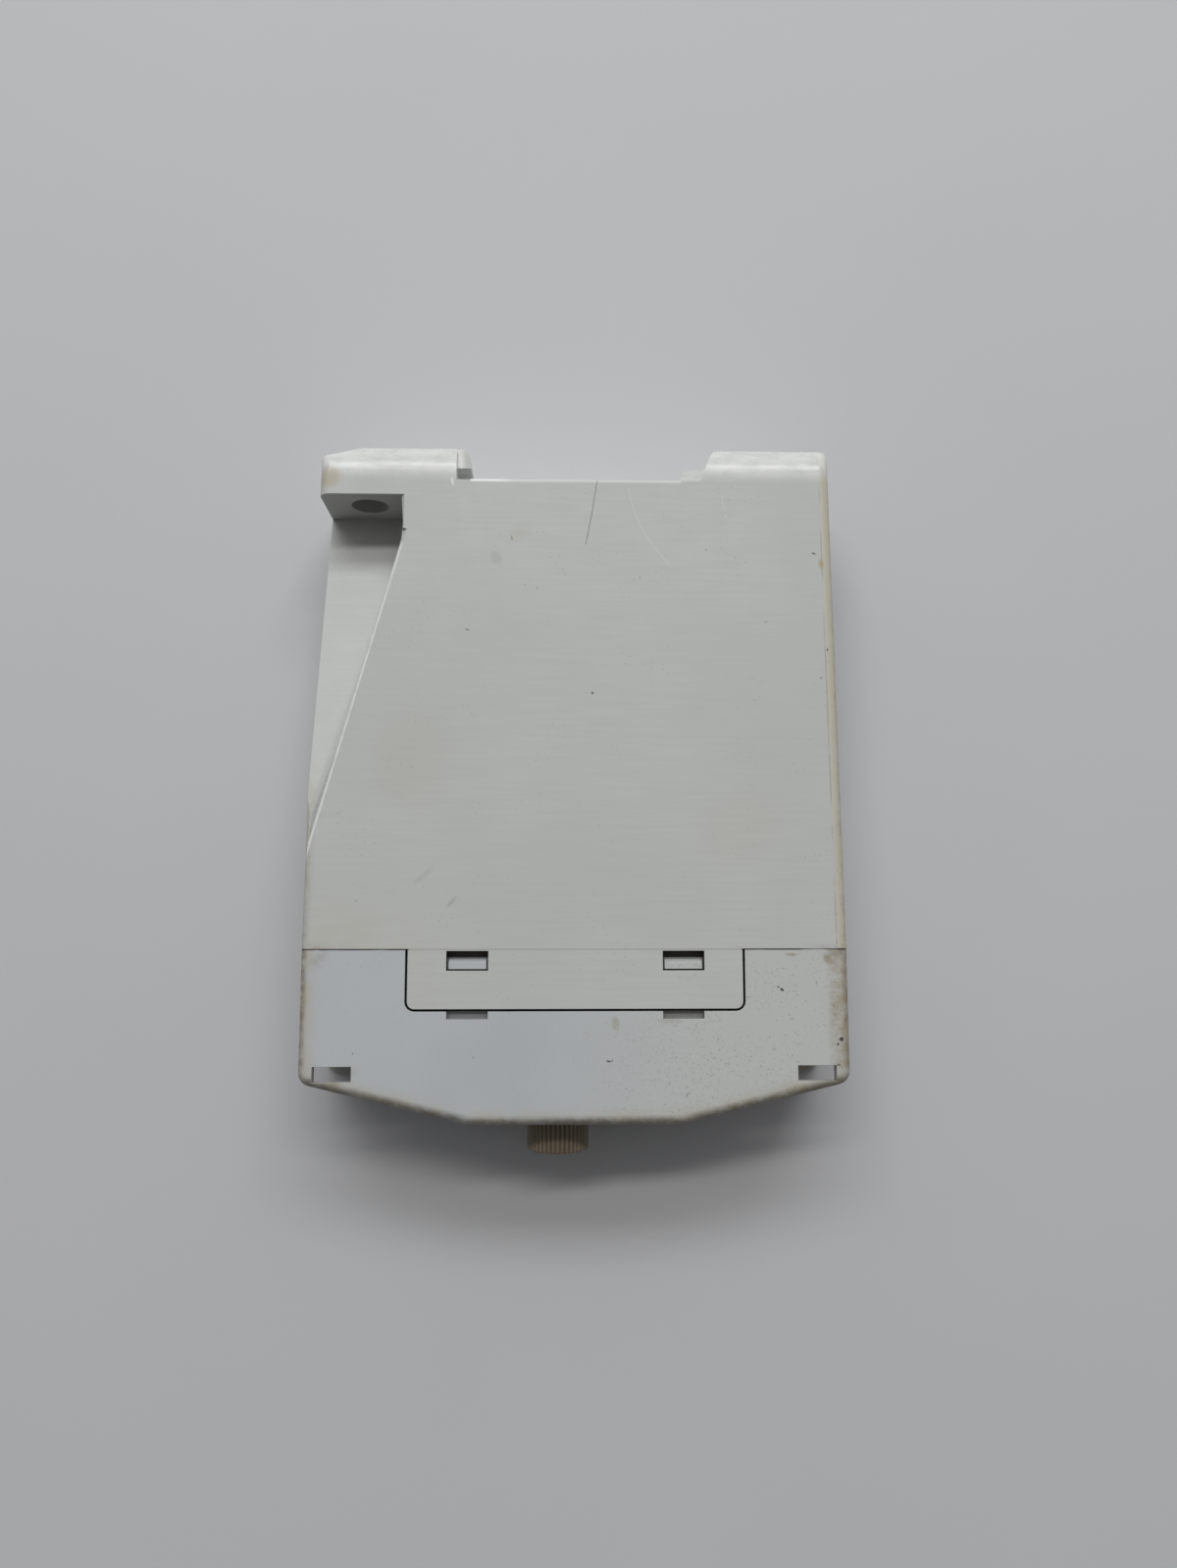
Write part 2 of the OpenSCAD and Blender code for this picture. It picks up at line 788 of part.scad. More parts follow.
module potentiometer_body() {
    y1 = front_board_y;
    color([0.20, 0.22, 0.24])
        difference() {
            union() {
                box([knob_x - 5, knob_x + 5], [y1 - pot_depth, y1], [mid_z - 5.3, mid_z + 5.3]);
                rod_y(knob_x, [y1 - pot_depth - 3, y1 - pot_depth + 1], mid_z, 3.2);
            }
            rod_y(knob_x, [y1 - pot_depth - 4, y1 - 1], mid_z, shaft_r + 0.05);
        }
}

module potentiometer_shaft() {
    color([0.86, 0.86, 0.84])
        rod_y(knob_x, [-foot_y + 2, front_board_y - 1.3], mid_z, shaft_r);
}

// Knurled knob: ribs all round, a rounded tip and a bore for the shaft
module setting_knob() {
    skirt = front_y - 0.5;
    color([0.80, 0.76, 0.66])
        difference() {
            intersection() {
                translate([knob_x, skirt, mid_z])
                    rotate([90, 0, 0])
                        linear_extrude(height = skirt + foot_y)
                            polygon([for (i = [0:2 * knob_ribs - 1])
                                let (r = i % 2 == 0 ? knob_r : knob_r - 0.3, a = 180 * i / knob_ribs)
                                [r * cos(a), r * sin(a)]]);
                translate([knob_x, skirt, mid_z])
                    rotate([90, 0, 0])
                        rotate_extrude()
                            polygon(concat(
                                [[0, -1], [knob_r + 0.5, -1], [knob_r + 0.5, 0.3]],
                                arc(knob_r - 0.8, skirt + foot_y - 0.9, 0.9, 0, 90),
                                [[0, skirt + foot_y]]
                            ));
            }
            rod_y(knob_x, [-foot_y + 1.9, front_y], mid_z, shaft_r + 0.03);
        }
}

// Latch bar with its nose, spring window and screwdriver slot
module rail_latch() {
    z0 = mid_z - latch_w / 2;
    color([0.70, 0.71, 0.69])
        difference() {
            translate([0, 0, z0])
                linear_extrude(height = latch_w)
                    polygon([[latch_tip_x, notch_y + rail_gap + 0.1],
                             [latch_tip_x + 0.2, latch_back_y - 1.4],
                             [latch_tip_x + 0.8, latch_back_y],
                             [latch_nose_x, latch_back_y], [latch_nose_x, latch_y1],
                             [latch_end_x, latch_y1], [latch_end_x, latch_y0],
                             [latch_nose_x, latch_y0], [latch_nose_x - 1.4, notch_y + rail_gap]]);
            box([spring_x0, spring_x1 + post_t + latch_gap], [0, far],
                [mid_z - post_w / 2 - 0.5, mid_z + post_w / 2 + 0.5]);
            box([latch_end_x - 2, latch_end_x - 0.9], [0, far], [mid_z - 1.6, mid_z + 1.6]);
        }
}

// Helical compression spring along X, swept as rings of points
module latch_spring() {
    ring = 6;
    per_turn = 14;
    steps = spring_turns * per_turn;
    travel = spring_x1 - spring_x0 - 2 * spring_wire_r;
    mean_r = spring_r - spring_wire_r;
    points = [for (i = [0:steps], k = [0:ring - 1])
        let (a = 360 * i / per_turn, b = 360 * k / ring, r = mean_r + spring_wire_r * cos(b))
        [spring_x0 + spring_wire_r + travel * i / steps + spring_wire_r * sin(b),
         (latch_y0 + latch_y1) / 2 + r * cos(a), mid_z + r * sin(a)]];
    sides = [for (i = [0:steps - 1], k = [0:ring - 1])
        [i * ring + k, (i + 1) * ring + k, (i + 1) * ring + (k + 1) % ring, i * ring + (k + 1) % ring]];
    first = [for (k = [0:ring - 1]) k];
    last = [for (k = [ring - 1:-1:0]) steps * ring + k];
    color([0.72, 0.73, 0.75])
        polyhedron(points, concat(sides, [first], [last]));
}

// Insulating block with one chamber per terminal, drawn for the +X end
module terminal_block() {
    difference() {
        box([31, half_h - wall - 0.1], [block_y0, block_y1], [in_z0 + 0.1, in_z1 - 0.1]);
        for (i = [1:terminals]) {
            z = terminal_z(i);
            box([terminal_x - 2.7, half_h], [block_y0 + 0.5, block_y1 - 0.8],
                [z - chamber_w / 2, z + chamber_w / 2]);
            box([30, terminal_x], [bar_y - 0.1, bar_y + bar_t + 0.1],
                [z - bar_w / 2 - 0.1, z + bar_w / 2 + 0.1]);
            rod_y(terminal_x, [block_y0 - 1, block_y0 + 1], z, 1.65);
        }
    }
}

module contact_bars() {
    for (i = [1:terminals])
        box([27.2, terminal_x + 2], [bar_y, bar_y + bar_t],
            [terminal_z(i) - bar_w / 2, terminal_z(i) + bar_w / 2]);
}

module upper_terminal_block() {
    color([0.16, 0.17, 0.18])
        mirror([1, 0, 0])
            terminal_block();
}

module lower_terminal_block() {
    color([0.16, 0.17, 0.18])
        terminal_block();
}

module upper_contact_bars() {
    color([0.80, 0.66, 0.34])
        mirror([1, 0, 0])
            contact_bars();
}

module lower_contact_bars() {
    color([0.80, 0.66, 0.34])
        contact_bars();
}

// Terminal screw with a crossed slot in its head; it turns in place and draws the clamp up
module terminal_screw(i) {
    shank_y = screw_head_y + screw_head_t;
    color([0.74, 0.75, 0.74])
        translate([terminal_side(i) * terminal_x, 0, terminal_z(i)])
            difference() {
                union() {
                    rod_y(0, [screw_head_y, shank_y], 0, screw_head_r);
                    rod_y(0, [shank_y - eps, bar_y - 0.3], 0, screw_r);
                }
                box([-1.7, 1.7], [screw_head_y - 1, screw_head_y + 0.8], [-0.35, 0.35]);
                box([-0.35, 0.35], [screw_head_y - 1, screw_head_y + 0.8], [-1.2, 1.2]);
            }
}

// Clamp cage: threaded end round the screw, foot behind the contact bar, two side straps
module terminal_clamp(i) {
    color([0.78, 0.76, 0.66])
        translate([terminal_side(i) * terminal_x, 0, terminal_z(i)])
            difference() {
                box([-clamp_l / 2, clamp_l / 2], [clamp_y0, clamp_foot_y + clamp_foot_t],
                    [-clamp_w / 2, clamp_w / 2]);
                box([-far, far], [clamp_y0 + clamp_nut_t, clamp_foot_y],
                    [-clamp_w / 2 + 0.5, clamp_w / 2 - 0.5]);
                rod_y(0, [clamp_y0 - 1, clamp_y0 + clamp_nut_t + 1], 0, clamp_hole_r);
            }
}

housing_shell();
front_cover();
scale_plate();
led_lens(lens_z[0], [0.35, 0.75, 0.40]);  // led_lens_power
led_lens(lens_z[1], [0.85, 0.70, 0.25]);  // led_lens_relay
led(lens_z[0], [0.55, 0.85, 0.55]);  // led_power
led(lens_z[1], [0.90, 0.80, 0.45]);  // led_relay
front_board();
main_board();
board_header();
output_relay();
relay_pins();
transformer_core();
transformer_bobbin();
transformer_winding();
supply_capacitor();
filter_capacitor();
varistor();
fuse();
bridge_rectifier();
controller_chip();
voltage_regulator();
crystal();
resistors();
ceramic_capacitors();
potentiometer_body();
potentiometer_shaft();
setting_knob();
rail_latch();
latch_spring();
upper_terminal_block();
lower_terminal_block();
upper_contact_bars();
lower_contact_bars();
for (i = [1:2 * terminals]) {
    terminal_screw(i);
    terminal_clamp(i);
}
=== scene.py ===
"""Looks of the rail-mounted door control module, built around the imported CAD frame."""
import math
import random

import bmesh
import bpy
from mathutils import Euler, Matrix, Vector


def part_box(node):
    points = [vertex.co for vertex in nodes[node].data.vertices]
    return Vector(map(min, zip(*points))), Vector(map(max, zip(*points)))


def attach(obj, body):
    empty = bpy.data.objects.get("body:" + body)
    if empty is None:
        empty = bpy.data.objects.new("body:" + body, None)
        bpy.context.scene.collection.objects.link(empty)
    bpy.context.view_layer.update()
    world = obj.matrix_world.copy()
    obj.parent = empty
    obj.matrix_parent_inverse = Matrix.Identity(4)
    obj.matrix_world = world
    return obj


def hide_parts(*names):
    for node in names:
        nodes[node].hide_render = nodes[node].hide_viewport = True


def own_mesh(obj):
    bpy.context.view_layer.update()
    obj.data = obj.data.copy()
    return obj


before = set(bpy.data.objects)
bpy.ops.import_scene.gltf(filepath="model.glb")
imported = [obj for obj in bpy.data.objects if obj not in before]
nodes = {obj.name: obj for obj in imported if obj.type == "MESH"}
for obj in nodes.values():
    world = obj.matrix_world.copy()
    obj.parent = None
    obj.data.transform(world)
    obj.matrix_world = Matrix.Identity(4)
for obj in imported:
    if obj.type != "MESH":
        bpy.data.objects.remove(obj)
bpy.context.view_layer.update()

MM = 0.001
scene = bpy.context.scene


# ---------------------------------------------------------------- places from the frame
_, shell_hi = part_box("housing_shell")
cover_lo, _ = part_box("front_cover")
dial_lo, dial_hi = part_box("scale_plate")
knob_lo, knob_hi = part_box("setting_knob")
board_lo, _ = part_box("main_board")

TOP = shell_hi.z
MID = TOP / 2
DIAL = (dial_lo + dial_hi) / 2
DIAL_R = (dial_hi.x - dial_lo.x) / 2
DIAL_SWEEP = 140  # degrees that the knob turns to either side of the dial's top
KNOB_R = (knob_hi.x - knob_lo.x) / 2

# Places in millimetres, for the materials
TOP_MM = TOP / MM
MID_MM = MID / MM
FRONT_MM = cover_lo.y / MM
PARTING_MM = FRONT_MM + 24.7  # the joint between the cover and the case
NOTCH_MM = 47.05  # the seat between the feet, which lies on the rail
END_TAPER = math.radians(0.7)
SLOPE_X = 15.07  # where the flat middle of the front turns into a slope
SLOPE_RISE = math.tan(math.radians(13.5))
RECESS_CORNER = (-25.7, 39.05)
RECESS_RUN = (12.7, 45.85)
LUG_HOLE_X = 31.7
LUG_HOLE_Z = 5.95  # from the middle plane
TONGUE_HALF = 23.94
TONGUE_REACH = 8.34  # forward of the joint
WINDOW_X = (12.5, 18.5)  # the windows that the latch noses click into


# ---------------------------------------------------------------- camera
def add_camera():
    """A phone held over the module, looking almost straight down."""
    cam_data = bpy.data.cameras.new("camera")
    cam_data.sensor_width = 36
    cam_data.lens = 27.017
    cam_data.clip_start = 0.01
    cam = bpy.data.objects.new("camera", cam_data)
    cam.location = Vector((-2.333, -21.288, 192.978)) * MM
    cam.rotation_euler = Euler([math.radians(a) for a in (7.274, -1.4045, -0.0514)])
    scene.collection.objects.link(cam)
    scene.camera = cam


# ---------------------------------------------------------------- node graphs
class Graph:
    """Short calls for building a material's node tree. Lengths are in millimetres."""

    def __init__(self, name):
        self.material = bpy.data.materials.new(name)
        self.material.use_nodes = True
        self.tree = self.material.node_tree
        self.shader = self.tree.nodes["Principled BSDF"]
        self.coords = self.add("ShaderNodeTexCoord").outputs["Object"]
        split = self.add("ShaderNodeSeparateXYZ")
        self.put(split.inputs[0], self.coords)
        self.x, self.y, self.z = [self.math("MULTIPLY", out, 1000) for out in split.outputs]

    def add(self, kind, **settings):
        node = self.tree.nodes.new(kind)
        for key, value in settings.items():
            setattr(node, key, value)
        return node

    def put(self, socket, value):
        if isinstance(value, bpy.types.NodeSocket):
            self.tree.links.new(value, socket)
        else:
            socket.default_value = value

    def stretched(self, scale):
        node = self.add("ShaderNodeMapping")
        self.put(node.inputs["Vector"], self.coords)
        node.inputs["Scale"].default_value = scale
        return node.outputs["Vector"]

    def noise(self, size, detail=3, rough=0.55, vector=None, distortion=0):
        """Noise whose blotches are about size across."""
        node = self.add("ShaderNodeTexNoise")
        self.put(node.inputs["Vector"], vector or self.coords)
        node.inputs["Scale"].default_value = 1000 / size
        node.inputs["Detail"].default_value = detail
        node.inputs["Roughness"].default_value = rough
        node.inputs["Distortion"].default_value = distortion
        return node.outputs["Fac"]

    def cells(self, size, vector=None, randomness=1.0):
        node = self.add("ShaderNodeTexVoronoi")
        self.put(node.inputs["Vector"], vector or self.coords)
        node.inputs["Scale"].default_value = 1000 / size
        node.inputs["Randomness"].default_value = randomness
        return node.outputs["Distance"]

    def ramp(self, value, low, high, to_low=0.0, to_high=1.0):
        node = self.add("ShaderNodeMapRange", interpolation_type="SMOOTHSTEP")
        self.put(node.inputs["Value"], value)
        node.inputs["From Min"].default_value = low
        node.inputs["From Max"].default_value = high
        node.inputs["To Min"].default_value = to_low
        node.inputs["To Max"].default_value = to_high
        return node.outputs["Result"]

    def math(self, operation, a, b=0.0):
        node = self.add("ShaderNodeMath", operation=operation)
        self.put(node.inputs[0], a)
        self.put(node.inputs[1], b)
        return node.outputs[0]

    def minus(self, a, b):
        return self.math("SUBTRACT", a, b)

    def apart(self, value, place):
        """How far value is from place, to either side."""
        return self.math("ABSOLUTE", self.minus(value, place))

    def off_axis(self, x, z):
        """Distance from a line along Y through (x, z)."""
        flat = self.add("ShaderNodeCombineXYZ")
        self.put(flat.inputs[0], self.x)
        self.put(flat.inputs[2], self.z)
        out = self.add("ShaderNodeVectorMath", operation="DISTANCE")
        self.put(out.inputs[0], flat.outputs[0])
        out.inputs[1].default_value = (x, 0, z)
        return out.outputs["Value"]

    def times(self, *values):
        result = values[0]
        for value in values[1:]:
            result = self.math("MULTIPLY", result, value)
        return result

    def most(self, *values):
        result = values[0]
        for value in values[1:]:
            result = self.math("MAXIMUM", result, value)
        return result

    def mix(self, factor, a, b, blend="MIX"):
        node = self.add("ShaderNodeMix", data_type="RGBA", blend_type=blend)
        self.put(node.inputs["Factor"], factor)
        for socket, value in ((node.inputs[6], a), (node.inputs[7], b)):
            self.put(socket, value if isinstance(value, bpy.types.NodeSocket) else (*value, 1))
        return node.outputs[2]

    def bump(self, height, strength, distance, under=None):
        node = self.add("ShaderNodeBump")
        node.inputs["Strength"].default_value = strength
        node.inputs["Distance"].default_value = distance * MM
        self.put(node.inputs["Height"], height)
        if under is not None:
            self.put(node.inputs["Normal"], under)
        return node.outputs["Normal"]

    def shade(self, color, roughness, normal=None, **sockets):
        if isinstance(color, tuple):
            color = (*color, 1)
        self.put(self.shader.inputs["Base Color"], color)
        self.put(self.shader.inputs["Roughness"], roughness)
        if normal is not None:
            self.put(self.shader.inputs["Normal"], normal)
        for name, value in sockets.items():
            self.shader.inputs[name.replace("_", " ")].default_value = value
        return self.material


# ---------------------------------------------------------------- marks of use
def spot(g, x, y, half_long, half_wide, angle=0):
    """1 inside a soft ellipse about (x, y) on the upper side face, and 0 outside."""
    depth = 3
    turn = g.add("ShaderNodeMapping", vector_type="TEXTURE")
    g.put(turn.inputs["Vector"], g.coords)
    turn.inputs["Location"].default_value = (x * MM, y * MM, TOP)
    turn.inputs["Rotation"].default_value = (0, 0, math.radians(angle))
    turn.inputs["Scale"].default_value = (half_long * MM, half_wide * MM, depth * MM)
    length = g.add("ShaderNodeVectorMath", operation="LENGTH")
    g.put(length.inputs[0], turn.outputs["Vector"])
    return g.ramp(length.outputs["Value"], 1.0, 0.3)


def spots(g, marks):
    """The strongest of several spots, each given as (x, y, half length, half width, angle, strength)."""
    return g.most(*[g.times(spot(g, x, y, long, wide, angle), strength)
                    for x, y, long, wide, angle, strength in marks])


def scratch(g, points, width, strength=1.0):
    """A scratch of even width along points on the upper side face, in millimetres."""
    parts = []
    for (x0, y0), (x1, y1) in zip(points, points[1:]):
        half_run = math.hypot(x1 - x0, y1 - y0) / 2
        turn = g.add("ShaderNodeMapping", vector_type="TEXTURE")
        g.put(turn.inputs["Vector"], g.coords)
        turn.inputs["Location"].default_value = ((x0 + x1) / 2 * MM, (y0 + y1) / 2 * MM, 0)
        turn.inputs["Rotation"].default_value = (0, 0, math.atan2(y1 - y0, x1 - x0))
        turn.inputs["Scale"].default_value = (half_run * MM, width / 2 * MM, 1)
        split = g.add("ShaderNodeSeparateXYZ")
        g.put(split.inputs[0], turn.outputs["Vector"])
        along = g.ramp(g.math("ABSOLUTE", split.outputs[0]), 1.06, 0.98)
        across = g.ramp(g.math("ABSOLUTE", split.outputs[1]), 1.0, 0.4)
        parts.append(g.times(along, across))
    face = g.ramp(g.z, TOP_MM - 1.2, TOP_MM - 0.8)
    return g.times(g.most(*parts), face, strength)


def band(g, value, near, far):
    """1 where value is past near, falling to 0 at far."""
    return g.ramp(value, far, near)


def near_side_faces(g, reach):
    """1 close to either side face, falling to 0 at reach millimetres from it."""
    return g.ramp(g.apart(g.z, MID_MM), MID_MM - reach, MID_MM - 0.3 * reach)


def below_side_faces(g):
    """0 on the two side faces and 1 just under them, in a gap or a window."""
    return g.ramp(g.apart(g.z, MID_MM), MID_MM - 0.03, MID_MM - 0.10)


def specks(g, size, share, breakup=7):
    """Sparse small dots, denser in some patches than in others."""
    dots = g.ramp(g.cells(size), 0.16, 0.07)
    where = g.ramp(g.noise(breakup, 2), 1 - share, 1 - share + 0.08)
    return g.times(dots, where)


def blotches(g, size, low, high, detail=5, rough=0.7):
    """1 inside uneven patches about size across, which fade out between high and low."""
    return g.ramp(g.noise(size, detail, rough), low, high)


# ---------------------------------------------------------------- plastic of the case
CASE_SCRATCH = [(3.25, 47.0), (2.5, 42.0), (1.5, 36.7)]
CASE_SPECKS = [
    (2.46, 14.0, 0.30, 0.24, 0, 0.95), (-16.1, 23.5, 0.50, 0.14, -8, 0.75),
    (-9.6, 37.6, 0.20, 0.60, 10, 0.45), (-5.8, 29.9, 0.20, 0.20, 0, 0.45),
    (-7.6, 30.4, 0.16, 0.16, 0, 0.4), (-11.9, 34.6, 1.1, 1.5, 30, 0.14),
    (28.4, 24.9, 0.5, 0.2, 20, 0.3), (9.6, 31.6, 0.16, 0.16, 0, 0.5),
    (19.6, 36.0, 0.16, 0.2, 0, 0.45), (35.8, 35.5, 0.40, 0.22, -20, 0.85),
    (37.5, 20.7, 0.2, 0.34, 5, 0.8), (36.4, 16.4, 0.24, 0.18, 0, 0.6),
    (-17.8, -16.6, 1.5, 0.4, 50, 0.18), (-31.5, -16.5, 0.4, 0.3, 0, 0.2),
    (-21.9, -12.8, 2.4, 0.6, 40, 0.10)]
CASE_STAINS = [
    (36.9, 33.9, 0.55, 1.1, 5, 0.85), (-8.5, 38.5, 2.2, 1.6, 20, 0.14), (24, -6, 9, 7, 30, 0.10),
    (-24, 4, 8, 10, 0, 0.10), (-37, 47, 2.5, 2.2, 30, 0.5)]
CASE_WHITE_SPOTS = [(-33.6, 36.4, 1.3, 0.2, 12, 1.0), (-18.6, 46.4, 0.3, 0.9, 10, 0.7)]
CASE_WHITE_SCRATCHES = [
    ([(7.9, 45.6), (8.6, 42.4), (9.7, 39.6)], 0.24, 0.20),
    ([(9.7, 39.6), (11.4, 36.8), (14.0, 33.7)], 0.22, 0.20),
    ([(22.0, 44.5), (22.6, 41.0)], 0.16, 0.25)]
# painted shade down in gaps, and the dark of dirty joints
GAP_SHADE_AND_DIRT = (0.03, 0.022, 0.016)


def square_x(g):
    """X without the slight taper of the case towards the rail."""
    return g.math("ADD", g.x, g.times(g.minus(g.y, PARTING_MM), math.tan(END_TAPER)))


def recess_edge_distance(g):
    """Distance from the top edge of the recess wall on the upper side face, across the edge."""
    run = Vector(RECESS_RUN).normalized()
    across = g.math("ADD", g.times(g.minus(g.x, RECESS_CORNER[0]), run.y),
                    g.times(g.minus(g.y, RECESS_CORNER[1]), -run.x))
    return g.apart(across, 0.28)


def case_base(g):
    """Light grey in two close tones, with faint streaks along X."""
    patches = g.ramp(g.noise(26, 2), 0.35, 0.65)
    base = g.mix(patches, (0.530, 0.538, 0.515), (0.555, 0.562, 0.545))
    streaks = g.noise(0.55, 3, 0.6, g.stretched((0.05, 1, 1)))
    return g.mix(g.ramp(streaks, 0.3, 0.7, 0.0, 0.5), base, (0.500, 0.508, 0.485))


def case_yellowing(g, color, side):
    """Yellowed edges and front corner, and a beige strip along the lower end."""
    rim = near_side_faces(g, 3.5)
    ends = g.times(band(g, side, 39.0, 36.8), rim)
    corner = g.times(band(g, g.y, -23, -13), band(g, g.x, -39, -12), rim)
    yellow = g.times(g.most(ends, corner), g.ramp(g.noise(5, 4), 0.25, 0.7), 0.40)
    color = g.mix(yellow, color, (0.50, 0.47, 0.37))
    strip = g.times(g.ramp(square_x(g), 37.75, 37.95), g.ramp(g.y, 53, 50), rim)
    strip = g.times(strip, g.ramp(g.noise(3, 3), 0.2, 0.7, 0.5, 0.9))
    return g.mix(strip, color, (0.56, 0.52, 0.42))


def case_grime(g, color, side):
    """Brown dirt along the ends, in the corners of the joint and beside the beige strip."""
    ends = g.times(band(g, side, 38.9, 37.8), near_side_faces(g, 2.0), blotches(g, 2.2, 0.42, 0.72))
    joint = g.times(band(g, g.y, -23.4, -22.3), band(g, side, 39, 30), blotches(g, 1.2, 0.3, 0.7, 4))
    line = g.times(g.ramp(g.apart(square_x(g), 37.7), 0.16, 0.05), g.ramp(g.noise(4, 3), 0.35, 0.6),
                   g.ramp(g.z, TOP_MM - 1.5, TOP_MM - 0.6))
    grime = g.most(g.times(ends, 0.35), g.times(joint, 0.45), g.times(line, 0.35))
    return g.mix(grime, color, (0.20, 0.145, 0.09))


def polished_feet(g, side):
    """1 on the backs of the feet, close to the side faces, where handling has rubbed them smooth and glossy;
    it lowers the roughness there and also lightens the colour as a painted highlight.
    """
    return g.times(band(g, g.y, 49.0, 46.3), g.ramp(side, 16.4, 17.6), near_side_faces(g, 7.5))


def case_wear(g, color, side, edge):
    """Pale wear with a painted highlight along the recess's edge and on the rail seat, white scratches and
    two white spots.
    """
    # painted highlight with pale wear on the rounded edge of the rail seat, strongest beside the fixed hook
    seat_wear_and_highlight = g.times(g.ramp(g.y, NOTCH_MM - 0.75, NOTCH_MM - 0.3), g.ramp(g.x, -16.2, -15.6),
                  g.ramp(g.x, -8.5, -12, 0.25, 1.0), g.ramp(side, 17.5, 16.5))
    scratches = [scratch(g, points, width, strength) for points, width, strength in CASE_WHITE_SCRATCHES]
    # edge is the painted highlight along the recess's top edge
    wear_and_highlight = g.most(edge, g.times(seat_wear_and_highlight, 0.9), *scratches, spots(g, CASE_WHITE_SPOTS))
    return g.mix(wear_and_highlight, color, (0.86, 0.87, 0.85))


def case_gaps(g, color, side):
    """Painted shade down in the tongue's gap and in its two windows, and dirt in the joint with the cover.
    """
    ahead = g.minus(PARTING_MM, g.y)
    gap_side = g.times(g.ramp(side, TONGUE_HALF - 0.1, TONGUE_HALF), g.ramp(ahead, -0.1, 0.1))
    gap_end = g.ramp(ahead, TONGUE_REACH - 0.08, TONGUE_REACH)
    near_x, far_x = WINDOW_X
    in_x = g.times(g.ramp(side, near_x - 0.06, near_x), g.ramp(side, far_x + 0.06, far_x))
    in_y = g.times(g.ramp(ahead, 3.06, 3.0), g.ramp(ahead, 0.14, 0.20))
    # painted shade on the walls below the side face, in the tongue's gap and in the two windows
    deep_shade = g.times(g.most(gap_side, gap_end, g.times(in_x, in_y)), below_side_faces(g))
    seam = g.times(g.ramp(g.apart(g.y, PARTING_MM), 0.15, 0.07), g.ramp(side, 23.6, 24.2, 0.22, 1.0),
                   g.ramp(g.noise(5, 3), 0.25, 0.5, 0.55, 1.0))
    return g.mix(g.most(g.times(deep_shade, 0.93), seam), color, GAP_SHADE_AND_DIRT)


def bore_dirt(g):
    """Painted shade inside the two screw holes, each in its own half of the case's thickness."""
    holes = [g.ramp(g.off_axis(sign * LUG_HOLE_X, MID_MM - sign * LUG_HOLE_Z), 2.95, 2.80)
             for sign in (-1, 1)]
    return g.times(g.most(*holes), g.ramp(g.y, 43.5, 44.2), 0.45)


def case_material():
    """Aged light grey plastic: even satin grain, a beige strip along the lower end, scratches and specks."""
    g = Graph("case_plastic")
    side = g.math("ABSOLUTE", g.x)
    color = case_grime(g, case_yellowing(g, case_base(g), side), side)

    polish_and_sheen = polished_feet(g, side)
    uneven = g.ramp(g.noise(1.6, 5, 0.65, g.stretched((0.5, 1, 1))), 0.30, 0.62, 0.45, 1.0)
    # painted highlight: the backs of the feet are lightened towards white to stand for their glossy sheen
    color = g.mix(g.times(polish_and_sheen, uneven, 0.65), color, (0.80, 0.80, 0.785))

    dark = g.most(scratch(g, CASE_SCRATCH, 0.16, 0.62), spots(g, CASE_SPECKS))
    color = g.mix(g.most(g.times(specks(g, 0.8, 0.46), 0.30), dark), color, (0.085, 0.075, 0.06))
    color = g.mix(spots(g, CASE_STAINS), color, (0.42, 0.34, 0.20))

    # painted highlight with pale wear: a whitish line along the top edge of the recess wall, where its
    # rounded edge catches the light
    edge = g.times(g.ramp(recess_edge_distance(g), 0.26, 0.12), g.ramp(g.z, TOP_MM - 0.9, TOP_MM - 0.4),
                   g.ramp(g.y, 37.5, 36), g.ramp(g.noise(3, 4, 0.6), 0.25, 0.5, 0.35, 0.85))
    color = case_gaps(g, case_wear(g, color, side, edge), side)
    # painted shade inside the two screw holes
    color = g.mix(bore_dirt(g), color, (0.13, 0.11, 0.085))

    normal = g.bump(g.noise(0.22, 3, 0.6), 0.30, 0.010)
    normal = g.bump(g.ramp(dark, 0, 1, 1, 0), 0.6, 0.05, normal)
    rough = g.minus(g.ramp(g.noise(3.5, 4), 0.3, 0.7, 0.56, 0.64), g.times(polish_and_sheen, 0.34))
    rough = g.minus(rough, g.times(edge, 0.2))
    return g.shade(color, rough, normal, IOR=1.47)


# ---------------------------------------------------------------- plastic of the cover
COVER_SPECKS = [
    (29.6, -29.2, 0.46, 0.26, -30, 1.0), (29.1, -28.8, 0.24, 0.18, 0, 0.9),
    (38.0, -36.2, 0.48, 0.44, 0, 1.0), (37.5, -36.9, 0.30, 0.22, 40, 0.9),
    (37.5, -39.8, 0.3, 0.2, 0, 0.85), (4.7, -39.2, 0.50, 0.20, -10, 0.9),
    (5.2, -39.1, 0.2, 0.24, 0, 0.6), (15.8, -43.9, 0.16, 0.5, -25, 0.5),
    (34.6, -28.2, 0.16, 0.16, 0, 0.7), (-31.5, -38.0, 0.16, 0.16, 0, 0.7),
    (-14.5, -38.6, 0.16, 0.16, 0, 0.5)]
COVER_STAINS = [
    (5.7, -34.0, 0.8, 1.4, 10, 0.5), (31.1, -24.2, 1.2, 0.35, 0, 0.8), (36.3, -24.9, 0.8, 1.2, 20, 0.75),
    (13.5, -33.6, 2.6, 0.6, 0, 0.3), (-33, -41, 3.0, 1.6, 20, 0.35), (33, -43.5, 4.5, 1.2, -14, 0.4)]


def cover_edge_distance(g):
    """Distance from the front's outline, which is flat in the middle and slopes away at both ends."""
    slope = g.math("MAXIMUM", g.minus(g.math("ABSOLUTE", g.x), SLOPE_X), 0)
    return g.minus(g.y, g.math("ADD", g.times(slope, SLOPE_RISE), FRONT_MM))


